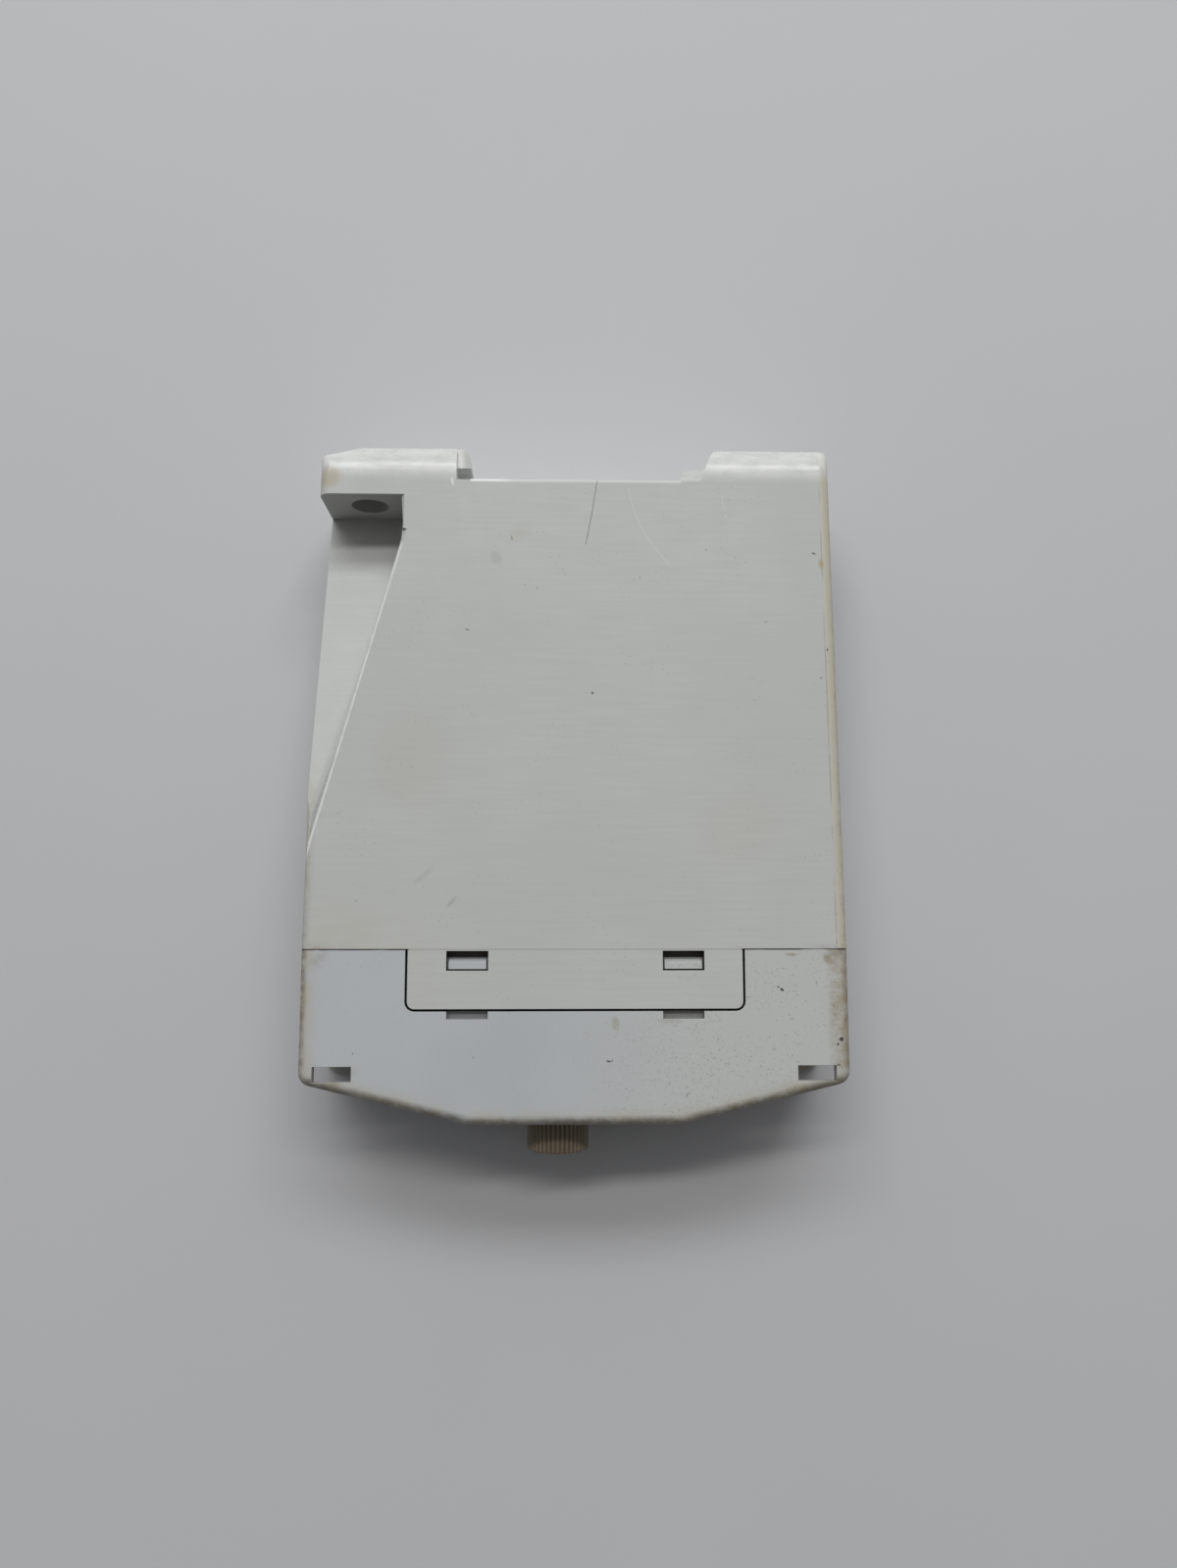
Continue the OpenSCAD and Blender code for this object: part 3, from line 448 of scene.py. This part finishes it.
def cover_base(g):
    """Cool grey with a fine grain, warmer at the end that has the beige strip."""
    base = g.mix(g.ramp(g.noise(20, 2), 0.35, 0.65), (0.475, 0.495, 0.510), (0.505, 0.522, 0.535))
    base = g.mix(band(g, g.x, -6, 22), (0.535, 0.545, 0.530), base)
    return g.mix(g.ramp(g.noise(0.45, 3, 0.7), 0.5, 0.8, 0, 0.25), base, (0.42, 0.43, 0.41))


def cover_grime(g, color, side, front, near):
    """Yellowed rims, and brown dirt along the ends, the front edge and the corners of the joint."""
    rim = g.times(g.most(band(g, side, 38.6, 36.2), band(g, front, 0.7, 3.2)), near_side_faces(g, 4))
    color = g.mix(g.times(rim, g.ramp(g.noise(4, 4), 0.2, 0.7), 0.7), color, (0.46, 0.42, 0.32))
    edge = g.most(band(g, side, 39.0, 38.0), band(g, front, 0.5, 1.6))
    edge = g.times(edge, near, blotches(g, 1.5, 0.30, 0.62))
    corner = g.times(near, band(g, side, 38.5, 34.5), band(g, g.y, -23.6, -27), blotches(g, 2.5, 0.4, 0.62))
    low = g.times(near, band(g, side, 38, 28), band(g, front, 0.6, 3.4), blotches(g, 1.8, 0.42, 0.66))
    grime = g.most(g.times(edge, 0.62), g.times(corner, 0.60), g.times(low, 0.50))
    return g.mix(grime, color, (0.145, 0.095, 0.055))


def cover_soil(g, color, front, near, soiled):
    """Ingrained dirt that is heavier towards one end, and a thin film over the front."""
    dirty_side = g.times(near, g.ramp(g.x, 35.8, 37.2), blotches(g, 2.0, 0.30, 0.60),
                         g.ramp(g.y, -46, -38, 0.4, 1.0))
    color = g.mix(g.times(dirty_side, 0.50), color, (0.30, 0.235, 0.145))
    fine = g.times(blotches(g, 0.5, 0.52, 0.70, 4, 0.75), soiled, g.ramp(g.noise(6, 2), 0.30, 0.55))
    color = g.mix(g.times(fine, 0.50), color, (0.27, 0.24, 0.19))
    film = g.times(blotches(g, 9, 0.35, 0.75, 4, 0.6), g.ramp(front, 1.5, 0.2), 0.28)
    return g.mix(film, color, (0.33, 0.31, 0.27))


def cover_gaps(g, color, side):
    """Painted shade down in the gap round the tongue and in the release slots, and dirt in the joint with
    the case.
    """
    ahead = g.minus(PARTING_MM, g.y)
    under = below_side_faces(g)
    near_x, far_x = WINDOW_X
    slot = g.times(g.ramp(side, near_x - 0.2, near_x), g.ramp(side, far_x + 0.1, far_x - 0.1))
    nose = g.times(g.ramp(ahead, 2.86, 2.78), g.ramp(ahead, 1.0, 1.25), slot)
    in_gap = g.times(g.ramp(side, 24.42, 24.33), g.ramp(ahead, 8.82, 8.73))
    # painted shade on the walls below the side face round the tongue, leaving the latch noses light
    deep_shade = g.times(in_gap, under, g.minus(1, nose))
    seam = g.times(g.ramp(ahead, 0.16, 0.08), g.ramp(side, 24.2, 24.5),
                   g.ramp(g.noise(5, 3), 0.3, 0.55, 0.3, 1.0))
    # painted shade down in the release slots
    release = g.times(slot, g.ramp(ahead, 9.95, 9.80), g.ramp(ahead, 8.6, 8.7), under, 0.42)
    return g.mix(g.most(g.times(deep_shade, 0.93), g.times(seam, 0.8), release), color, GAP_SHADE_AND_DIRT)


def cover_material():
    """Cooler grey plastic, duller than the case, with brown grime along every outer edge."""
    g = Graph("cover_plastic")
    side = g.math("ABSOLUTE", g.x)
    front = cover_edge_distance(g)
    near = near_side_faces(g, 2.2)
    soiled = band(g, g.x, 20, -8)
    color = cover_grime(g, cover_base(g), side, front, near)
    color = cover_soil(g, color, front, near, soiled)

    dots = g.times(specks(g, 0.9, 0.60), g.ramp(soiled, 0, 1, 0.25, 0.75), 0.55)
    color = g.mix(g.most(dots, spots(g, COVER_SPECKS)), color, (0.045, 0.035, 0.03))
    stain = g.times(spots(g, COVER_STAINS), blotches(g, 0.9, 0.25, 0.6, 4))
    color = g.mix(stain, color, (0.30, 0.245, 0.14))
    color = cover_gaps(g, color, side)

    normal = g.bump(g.noise(0.25, 3, 0.65), 0.45, 0.016)
    rough = g.ramp(g.noise(4, 4), 0.3, 0.7, 0.56, 0.66)
    return g.shade(color, rough, normal, IOR=1.48)


# ---------------------------------------------------------------- knob and latch
def knob_material():
    """Beige plastic whose base colour is painted darker for the shade in front of the module, and darker
    still between the ribs, with specks of dirt.
    """
    g = Graph("knob_plastic")
    out = g.off_axis(DIAL.x / MM, MID_MM)
    rib_r = KNOB_R / MM
    valley = g.ramp(out, rib_r - 0.28, rib_r - 0.05)
    wall = g.ramp(out, rib_r - 1.1, rib_r - 0.9)
    # painted shade: both base tones sit far below the knob's beige, for the shadow it lies in
    base = g.mix(g.noise(3, 3), (0.23, 0.195, 0.145), (0.29, 0.245, 0.185))
    # darker between the ribs
    dirt = g.times(g.minus(wall, g.times(wall, valley)), 0.75)
    dirt = g.most(dirt, g.times(specks(g, 0.7, 0.5, 3), 0.8))
    color = g.mix(dirt, base, (0.14, 0.085, 0.045))
    return g.shade(color, 0.42, g.bump(g.noise(0.2, 3), 0.3, 0.01))


def latch_material():
    """The case's grey, cleaner, with a little brown dirt."""
    g = Graph("latch_plastic")
    base = g.mix(g.noise(4, 3), (0.52, 0.53, 0.505), (0.575, 0.585, 0.565))
    color = g.mix(g.times(g.ramp(g.noise(0.8, 4, 0.7), 0.5, 0.75), 0.4), base, (0.30, 0.24, 0.16))
    return g.shade(color, 0.4, g.bump(g.noise(0.2, 3), 0.3, 0.01))


# ---------------------------------------------------------------- materials of the inner pieces
def plain(name, color, roughness, grain=0.3, strength=0.25, vary=0.12, **sockets):
    """Moulded, dipped or cast surface: slightly uneven colour and a fine grain."""
    g = Graph(name)
    dark = tuple(c * (1 - vary) for c in color)
    light = tuple(min(1, c * (1 + vary)) for c in color)
    tone = g.mix(g.ramp(g.noise(grain * 12), 0.3, 0.7), dark, light)
    tone = g.mix(g.times(specks(g, grain * 5, 0.45, grain * 30), 0.3), tone, dark)
    normal = g.bump(g.noise(grain, 3, 0.6), strength, grain * 0.06)
    rough = g.ramp(g.noise(grain * 9), 0.3, 0.7, roughness * 0.9, min(1, roughness * 1.1))
    return g.shade(tone, rough, normal, **sockets)


def metal(name, color, roughness, grain=(1, 1, 1), size=0.25, stain=(0.3, 0.22, 0.12)):
    """Drawn, plated or rolled metal with fine lines along its grain and a little tarnish."""
    g = Graph(name)
    lines = g.noise(size, 4, 0.65, g.stretched(grain))
    tone = g.mix(lines, tuple(c * 0.8 for c in color), color)
    tarnish = g.times(g.ramp(g.noise(size * 7, 4, 0.6), 0.52, 0.75), 0.45)
    tone = g.mix(tarnish, tone, tuple(c * s for c, s in zip(color, stain)))
    rough = g.ramp(lines, 0.3, 0.7, roughness * 0.8, min(1, roughness * 1.25))
    return g.shade(tone, rough, g.bump(lines, 0.25, 0.01), Metallic=1.0)


def striped(name, axis, pitch, first, second, roughness, share=0.5, metallic=0.0):
    """Layers along one axis, such as laminations or turns of wire."""
    g = Graph(name)
    along = {"x": g.x, "y": g.y, "z": g.z}[axis]
    phase = g.math("FRACT", g.math("DIVIDE", g.math("ADD", along, g.times(g.noise(6), 0.12)), pitch))
    ridge = g.ramp(g.apart(phase, 0.5), share * 0.5, share * 0.5 + 0.12)
    tone = g.mix(ridge, g.mix(g.noise(1.5), tuple(c * 0.85 for c in first), first), second)
    return g.shade(tone, g.ramp(g.noise(2), 0.3, 0.7, roughness * 0.85, roughness * 1.15),
                   g.bump(ridge, 0.6, pitch * 0.12), Metallic=metallic)


def board_material():
    """Green solder mask over faint copper tracks, with patches of bare pads."""
    g = Graph("circuit_board")
    across = g.math("ADD", g.math("ADD", g.y, g.z), g.times(g.noise(9, 0), 6))
    lane_pitch = 1.27
    pad_pitch = 2.54
    lanes = g.math("FRACT", g.math("DIVIDE", across, lane_pitch))
    track = g.times(g.ramp(g.apart(lanes, 0.5), 0.22, 0.16), g.ramp(g.noise(11, 1), 0.42, 0.46))
    cover = g.mix(g.noise(5, 3), (0.012, 0.105, 0.045), (0.018, 0.135, 0.06))
    tone = g.mix(track, cover, (0.035, 0.24, 0.10))
    pads = g.ramp(g.cells(pad_pitch, randomness=0.25), 0.20, 0.17)
    tone = g.mix(g.times(pads, g.ramp(g.noise(8, 1), 0.5, 0.53)), tone, (0.55, 0.52, 0.44))
    return g.shade(tone, 0.32, g.bump(g.most(track, pads), 0.5, 0.03), Coat_Weight=0.2)


def lens_material(name, color):
    """Clear tinted plastic, slightly uneven."""
    g = Graph(name)
    tone = g.mix(g.noise(1.2, 3), tuple(c * 0.85 for c in color), color)
    return g.shade(tone, 0.16, g.bump(g.noise(0.6, 2), 0.15, 0.01), Coat_Weight=0.5, Coat_Roughness=0.05,
                   Transmission_Weight=0.35, IOR=1.49)


def dial_material():
    """White printed ring: a fine paper-like grain, slightly yellowed, with dirt near its rim."""
    g = Graph("dial_plate")
    out = g.add("ShaderNodeVectorMath", operation="DISTANCE")
    g.put(out.inputs[0], g.coords)
    out.inputs[1].default_value = (DIAL.x, dial_lo.y, MID)
    rim = g.ramp(out.outputs["Value"], DIAL_R - 0.8 * MM, DIAL_R)
    base = g.mix(g.noise(3, 3), (0.70, 0.70, 0.67), (0.76, 0.76, 0.74))
    color = g.mix(g.times(rim, g.ramp(g.noise(1, 4), 0.35, 0.65), 0.5), base, (0.36, 0.31, 0.22))
    return g.shade(color, 0.5, g.bump(g.noise(0.15, 2), 0.3, 0.005))


# ---------------------------------------------------------------- CAD nodes
def finish_node(name, material, edge=0.0, segments=2, angle=32):
    """Gives a CAD node its material, smooth curves and small rounded edges (edge in millimetres)."""
    obj = nodes[name]
    obj.data.materials.clear()
    obj.data.materials.append(material)
    for poly in obj.data.polygons:
        poly.use_smooth = True
        poly.material_index = 0
    weld = obj.modifiers.new("weld", "WELD")
    weld.merge_threshold = 0.002 * MM
    flat = obj.modifiers.new("flat", "DECIMATE")
    flat.decimate_type = "DISSOLVE"
    flat.angle_limit = math.radians(0.6)
    if edge:
        bevel = obj.modifiers.new("edge", "BEVEL")
        bevel.width = edge * MM
        bevel.segments = segments
        bevel.limit_method = "ANGLE"
        bevel.angle_limit = math.radians(angle)
        bevel.miter_outer = "MITER_ARC"
        bevel.harden_normals = False
    else:
        split = obj.modifiers.new("edge", "EDGE_SPLIT")
        split.split_angle = math.radians(angle)
    even = obj.modifiers.new("even", "WEIGHTED_NORMAL")
    even.mode = "FACE_AREA"
    even.weight = 100
    even.keep_sharp = True
    return obj


def finish_outer_nodes():
    """The plastic pieces that are seen from outside, and the two lamps with their lenses."""
    finish_node("housing_shell", case_material(), 0.16, 2)
    finish_node("front_cover", cover_material(), 0.14, 2)
    finish_node("rail_latch", latch_material(), 0.2, 2)
    finish_node("setting_knob", knob_material(), 0.06, 1)
    finish_node("scale_plate", dial_material(), 0.08, 2)
    lamps = {"power": (0.30, 0.70, 0.30), "relay": (0.85, 0.62, 0.20)}
    lenses = {"power": (0.12, 0.55, 0.18), "relay": (0.80, 0.45, 0.06)}
    for name in lamps:
        finish_node("led_" + name, lens_material("lamp_" + name, lamps[name]), 0.05)
        finish_node("led_lens_" + name, lens_material("lens_" + name, lenses[name]), 0.06)


def finish_inner_nodes():
    """The boards, what they carry, and the terminals."""
    black = plain("black_plastic", (0.022, 0.022, 0.025), 0.45)
    epoxy = plain("black_epoxy", (0.016, 0.016, 0.018), 0.55, grain=0.2)
    brass = metal("brass", (0.66, 0.50, 0.22), 0.32, (0.1, 1, 1))
    board = board_material()
    finish_node("front_board", board, 0.05)
    finish_node("main_board", board, 0.05)
    finish_node("board_header", plain("header_plastic", (0.03, 0.03, 0.035), 0.4), 0.08)
    finish_node("output_relay", plain("relay_case", (0.016, 0.035, 0.12), 0.38, grain=0.4), 0.4, 3)
    finish_node("relay_pins", metal("tinned_metal", (0.62, 0.62, 0.60), 0.35), 0.05)
    steel_layers = striped("core_steel", "z", 0.5, (0.26, 0.26, 0.27), (0.07, 0.065, 0.06), 0.45,
                           share=0.6, metallic=0.8)
    copper_turns = striped("copper_winding", "y", 0.42, (0.34, 0.115, 0.04), (0.16, 0.04, 0.015), 0.3,
                           share=0.62, metallic=0.9)
    finish_node("transformer_core", steel_layers, 0.15)
    finish_node("transformer_bobbin", plain("bobbin_plastic", (0.66, 0.62, 0.50), 0.5), 0.15)
    finish_node("transformer_winding", copper_turns, 0.3, 3)
    sleeve = plain("capacitor_sleeve", (0.020, 0.020, 0.035), 0.25, grain=0.5, Coat_Weight=0.4)
    finish_node("supply_capacitor", sleeve, 0.1)
    finish_node("filter_capacitor", sleeve, 0.1)
    blue = plain("blue_coating", (0.02, 0.07, 0.32), 0.3, grain=0.5, Coat_Weight=0.3)
    finish_node("varistor", blue, 0.6, 3)
    finish_node("fuse", plain("fuse_case", (0.17, 0.035, 0.02), 0.4), 0.35, 3)
    finish_node("bridge_rectifier", epoxy, 0.25)
    finish_node("controller_chip", epoxy, 0.08)
    finish_node("voltage_regulator", epoxy, 0.15)
    finish_node("crystal", metal("crystal_can", (0.58, 0.59, 0.60), 0.25, (0.2, 1, 1)), 0.5, 3)
    finish_node("resistors", plain("resistor_coating", (0.46, 0.33, 0.18), 0.4), 0.25, 3)
    finish_node("ceramic_capacitors", plain("ochre_coating", (0.52, 0.23, 0.035), 0.35), 0.5, 3)
    finish_node("potentiometer_body", black, 0.12)
    finish_node("potentiometer_shaft", plain("shaft_plastic", (0.66, 0.66, 0.63), 0.4), 0.1)
    for end in ("upper", "lower"):
        finish_node(end + "_terminal_block", black, 0.15)
        finish_node(end + "_contact_bars", brass, 0.1)
    screw = metal("plated_steel", (0.58, 0.59, 0.58), 0.28)
    clamp = metal("clamp_steel", (0.60, 0.55, 0.42), 0.34)
    for i in range(1, 7):
        finish_node(f"terminal_screw_{i}", screw, 0.08)
        finish_node(f"terminal_clamp_{i}", clamp, 0.15)


# ---------------------------------------------------------------- added pieces
def mesh_piece(name, make, material, body):
    """A new piece whose mesh is filled in by make(bmesh)."""
    mesh = bpy.data.meshes.new(name)
    bm = bmesh.new()
    make(bm)
    bm.to_mesh(mesh)
    bm.free()
    obj = bpy.data.objects.new(name, mesh)
    scene.collection.objects.link(obj)
    obj.data.materials.append(material)
    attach(obj, body)
    return obj


def add_block(bm, size, matrix, bevel=0.0):
    """Box of the given size with its edges taken off."""
    made = bmesh.ops.create_cube(bm, size=1, matrix=matrix @ Matrix.Diagonal((*size, 1)))
    if bevel:
        edges = list({e for v in made["verts"] for e in v.link_edges})
        bmesh.ops.bevel(bm, geom=edges, offset=bevel, segments=2, affect="EDGES", profile=0.6)


def around_dial(angle, radius, y):
    """Frame on the dial: its X runs outwards and its Y along the knob's axis."""
    turn = math.radians(90 - angle)
    place = Vector((DIAL.x + radius * math.cos(turn), y, MID + radius * math.sin(turn)))
    return Matrix.Translation(place) @ Matrix.Rotation(-turn, 4, "Y")


def dial_ticks(ink):
    """Raised printing on the dial: a long tick at each whole step and short ones between."""
    steps = 20
    inner_r = 5.2 * MM
    thick = 0.05 * MM

    def make(bm):
        for i in range(steps + 1):
            angle = -DIAL_SWEEP + i * 2 * DIAL_SWEEP / steps
            long = i % 2 == 0
            length = (1.0 if long else 0.6) * MM
            width = (0.24 if long else 0.16) * MM
            where = around_dial(angle, inner_r + length / 2, dial_lo.y - 0.01 * MM)
            add_block(bm, (length, thick, width), where, 0.008 * MM)
    mesh_piece("dial_ticks", make, ink, "housing")


def dial_numbers(ink):
    """Plain even numbers, 0 to 10, each outside its long tick."""
    number_r = 7.2 * MM
    for i in range(0, 11, 2):
        text = bpy.data.curves.new(f"dial_number_{i}", "FONT")
        text.body = str(i)
        text.size = 1.5 * MM
        text.extrude = 0.02 * MM
        text.align_x = "CENTER"
        text.align_y = "CENTER"
        angle = math.radians(90 - (-DIAL_SWEEP + i * 2 * DIAL_SWEEP / 10))
        obj = bpy.data.objects.new(f"dial_number_{i}", text)
        place = Vector((math.cos(angle), 0, math.sin(angle))) * number_r
        obj.location = Vector((DIAL.x, dial_lo.y - 0.015 * MM, MID)) + place
        obj.rotation_euler = (math.radians(90), 0, 0)
        scene.collection.objects.link(obj)
        text.materials.append(ink)
        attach(obj, "housing")


def knob_pointer():
    """A low ridge across the knob's face that shows where it is set."""
    white = plain("pointer_paint", (0.62, 0.60, 0.55), 0.5)
    reach = 2.6 * MM
    width = 0.55 * MM
    rim = 0.9 * MM

    def make(bm):
        where = around_dial(0, KNOB_R - rim - reach / 2, knob_lo.y - 0.03 * MM)
        add_block(bm, (reach, 0.12 * MM, width), where, 0.04 * MM)
    mesh_piece("knob_pointer", make, white, "knob")


def latch_coil():
    """The latch's compression spring, with close turns at both ends; the latch squeezes it in the real
    module, but this coil is fixed to the housing and keeps its length.
    """
    steel = metal("spring_steel", (0.52, 0.53, 0.55), 0.25)
    low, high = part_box("latch_spring")
    wire_r = 0.2 * MM
    mean_r = (high.y - low.y) / 2 - wire_r
    mid_y, mid_z = (low.y + high.y) / 2, (low.z + high.z) / 2
    turns = 8
    per_turn = 28
    around = 10

    def along(share):
        """Distance along the axis, from 0 to 1, with a closed turn at each end."""
        closed = 1 / turns
        rise = 0.055
        if share < closed:
            return rise * share / closed
        if share > 1 - closed:
            return 1 - rise * (1 - share) / closed
        return rise + (1 - 2 * rise) * (share - closed) / (1 - 2 * closed)

    def make(bm):
        rings = []
        for i in range(turns * per_turn + 1):
            share = i / (turns * per_turn)
            x = low.x + wire_r + (high.x - low.x - 2 * wire_r) * along(share)
            a = math.tau * i / per_turn
            ring = []
            for k in range(around):
                b = math.tau * k / around
                r = mean_r + wire_r * math.cos(b)
                place = (x + wire_r * math.sin(b), mid_y + r * math.cos(a), mid_z + r * math.sin(a))
                ring.append(bm.verts.new(place))
            rings.append(ring)
        for first, second in zip(rings, rings[1:]):
            for k in range(around):
                j = (k + 1) % around
                bm.faces.new((first[k], first[j], second[j], second[k]))
        bm.faces.new(rings[0][::-1])
        bm.faces.new(rings[-1])
        bmesh.ops.recalc_face_normals(bm, faces=bm.faces)
        for face in bm.faces:
            face.smooth = len(face.verts) == 4
    coil = mesh_piece("latch_coil", make, steel, "housing")
    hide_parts("latch_spring")
    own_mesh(coil)


def solder_joints():
    """Shiny cones of solder under the main board, below each lead."""
    tin = metal("solder", (0.66, 0.66, 0.64), 0.22)
    rng = random.Random(4)
    corners = 14
    profile = [(1.0, 0.0), (0.82, 0.22), (0.55, 0.6), (0.38, 1.0), (0.30, 1.25)]
    flatten = 0.9
    leads = [(22.5, -19), (27.5, -19), (25, -3), (22.5, 4.5), (27.5, 4.5)]
    leads += [(x, -18 + 4 * i) for i in range(5) for x in (5, 13)]
    leads += [(-16 + side * 1.3, y) for y in (-20, -14) for side in (-1, 1)]
    leads += [(-27.5, y) for y in (-1.7, 5.7)]
    leads += [(x, y) for y in (37, 17) for x in (-16, -8, 4)]
    leads += [(13, 28), (18, 28)]
    leads += [(-20 + 2.54 * i, -28) for i in range(10)]

    def make(bm):
        for x, y in leads:
            radius = rng.uniform(0.75, 0.95)
            rings = []
            for share, drop in profile:
                ring = []
                for i in range(corners):
                    turn = i * math.tau / corners
                    out = Vector((math.cos(turn), math.sin(turn), 0)) * radius * share
                    place = (Vector((x, y, -drop * flatten)) + out) * MM
                    ring.append(bm.verts.new(place + Vector((0, 0, board_lo.z))))
                rings.append(ring)
            for upper, lower in zip(rings, rings[1:]):
                for i in range(corners):
                    j = (i + 1) % corners
                    bm.faces.new((upper[i], upper[j], lower[j], lower[i]))
            bm.faces.new(rings[0][::-1])
            bm.faces.new(rings[-1])
        bmesh.ops.recalc_face_normals(bm, faces=bm.faces)
        for face in bm.faces:
            face.smooth = True
    mesh_piece("solder_joints", make, tin, "housing")


# ---------------------------------------------------------------- floor and light
def add_stage():
    """A plain grey table, a hair below the side face that lies on it."""
    bpy.ops.mesh.primitive_plane_add(size=3, location=(0, 0, -0.03 * MM))
    floor = bpy.context.object
    floor.name = "floor"
    g = Graph("floor_paper")
    tone = g.mix(g.noise(60, 3), (0.555, 0.555, 0.565), (0.58, 0.58, 0.59))
    floor.data.materials.append(g.shade(tone, 0.7, g.bump(g.noise(0.8, 4), 0.15, 0.05)))


def add_area(name, place, size, power, color):
    """A rectangular lamp that faces the module."""
    data = bpy.data.lights.new(name, "AREA")
    data.shape = "RECTANGLE"
    data.size, data.size_y = size
    data.energy = power
    data.color = color
    light = bpy.data.objects.new(name, data)
    light.location = place
    light.rotation_euler = (-Vector(place)).to_track_quat("-Z", "Y").to_euler()
    scene.collection.objects.link(light)


def add_lights():
    """A ceiling tube beyond the rail side, a lower lamp behind it, and a room that is dim at the front."""
    dim, bright = 0.035, 0.52
    add_area("ceiling_tube", (-0.05, 0.73, 1.43), (1.3, 0.14), 7.2, (1.0, 0.99, 0.97))
    add_area("far_lamp", (0.0, 0.89, 0.95), (1.1, 0.26), 6.7, (0.97, 0.99, 1.0))
    world = bpy.data.worlds.new("studio")
    world.use_nodes = True
    tree = world.node_tree
    toward = tree.nodes.new("ShaderNodeTexCoord")
    split = tree.nodes.new("ShaderNodeSeparateXYZ")
    fade = tree.nodes.new("ShaderNodeMapRange")
    fade.inputs["From Min"].default_value = -0.6
    fade.inputs["From Max"].default_value = 0.8
    fade.inputs["To Min"].default_value = dim
    fade.inputs["To Max"].default_value = bright
    tree.links.new(toward.outputs["Generated"], split.inputs[0])
    tree.links.new(split.outputs["Y"], fade.inputs["Value"])
    tree.links.new(fade.outputs["Result"], tree.nodes["Background"].inputs["Strength"])
    tree.nodes["Background"].inputs["Color"].default_value = (0.97, 0.98, 1.0, 1)
    scene.world = world


add_camera()
add_stage()
add_lights()
scene.view_settings.view_transform = "Standard"

finish_outer_nodes()
finish_inner_nodes()
dial_ink = plain("dial_ink", (0.03, 0.03, 0.032), 0.5)
dial_ticks(dial_ink)
dial_numbers(dial_ink)
knob_pointer()
latch_coil()
solder_joints()
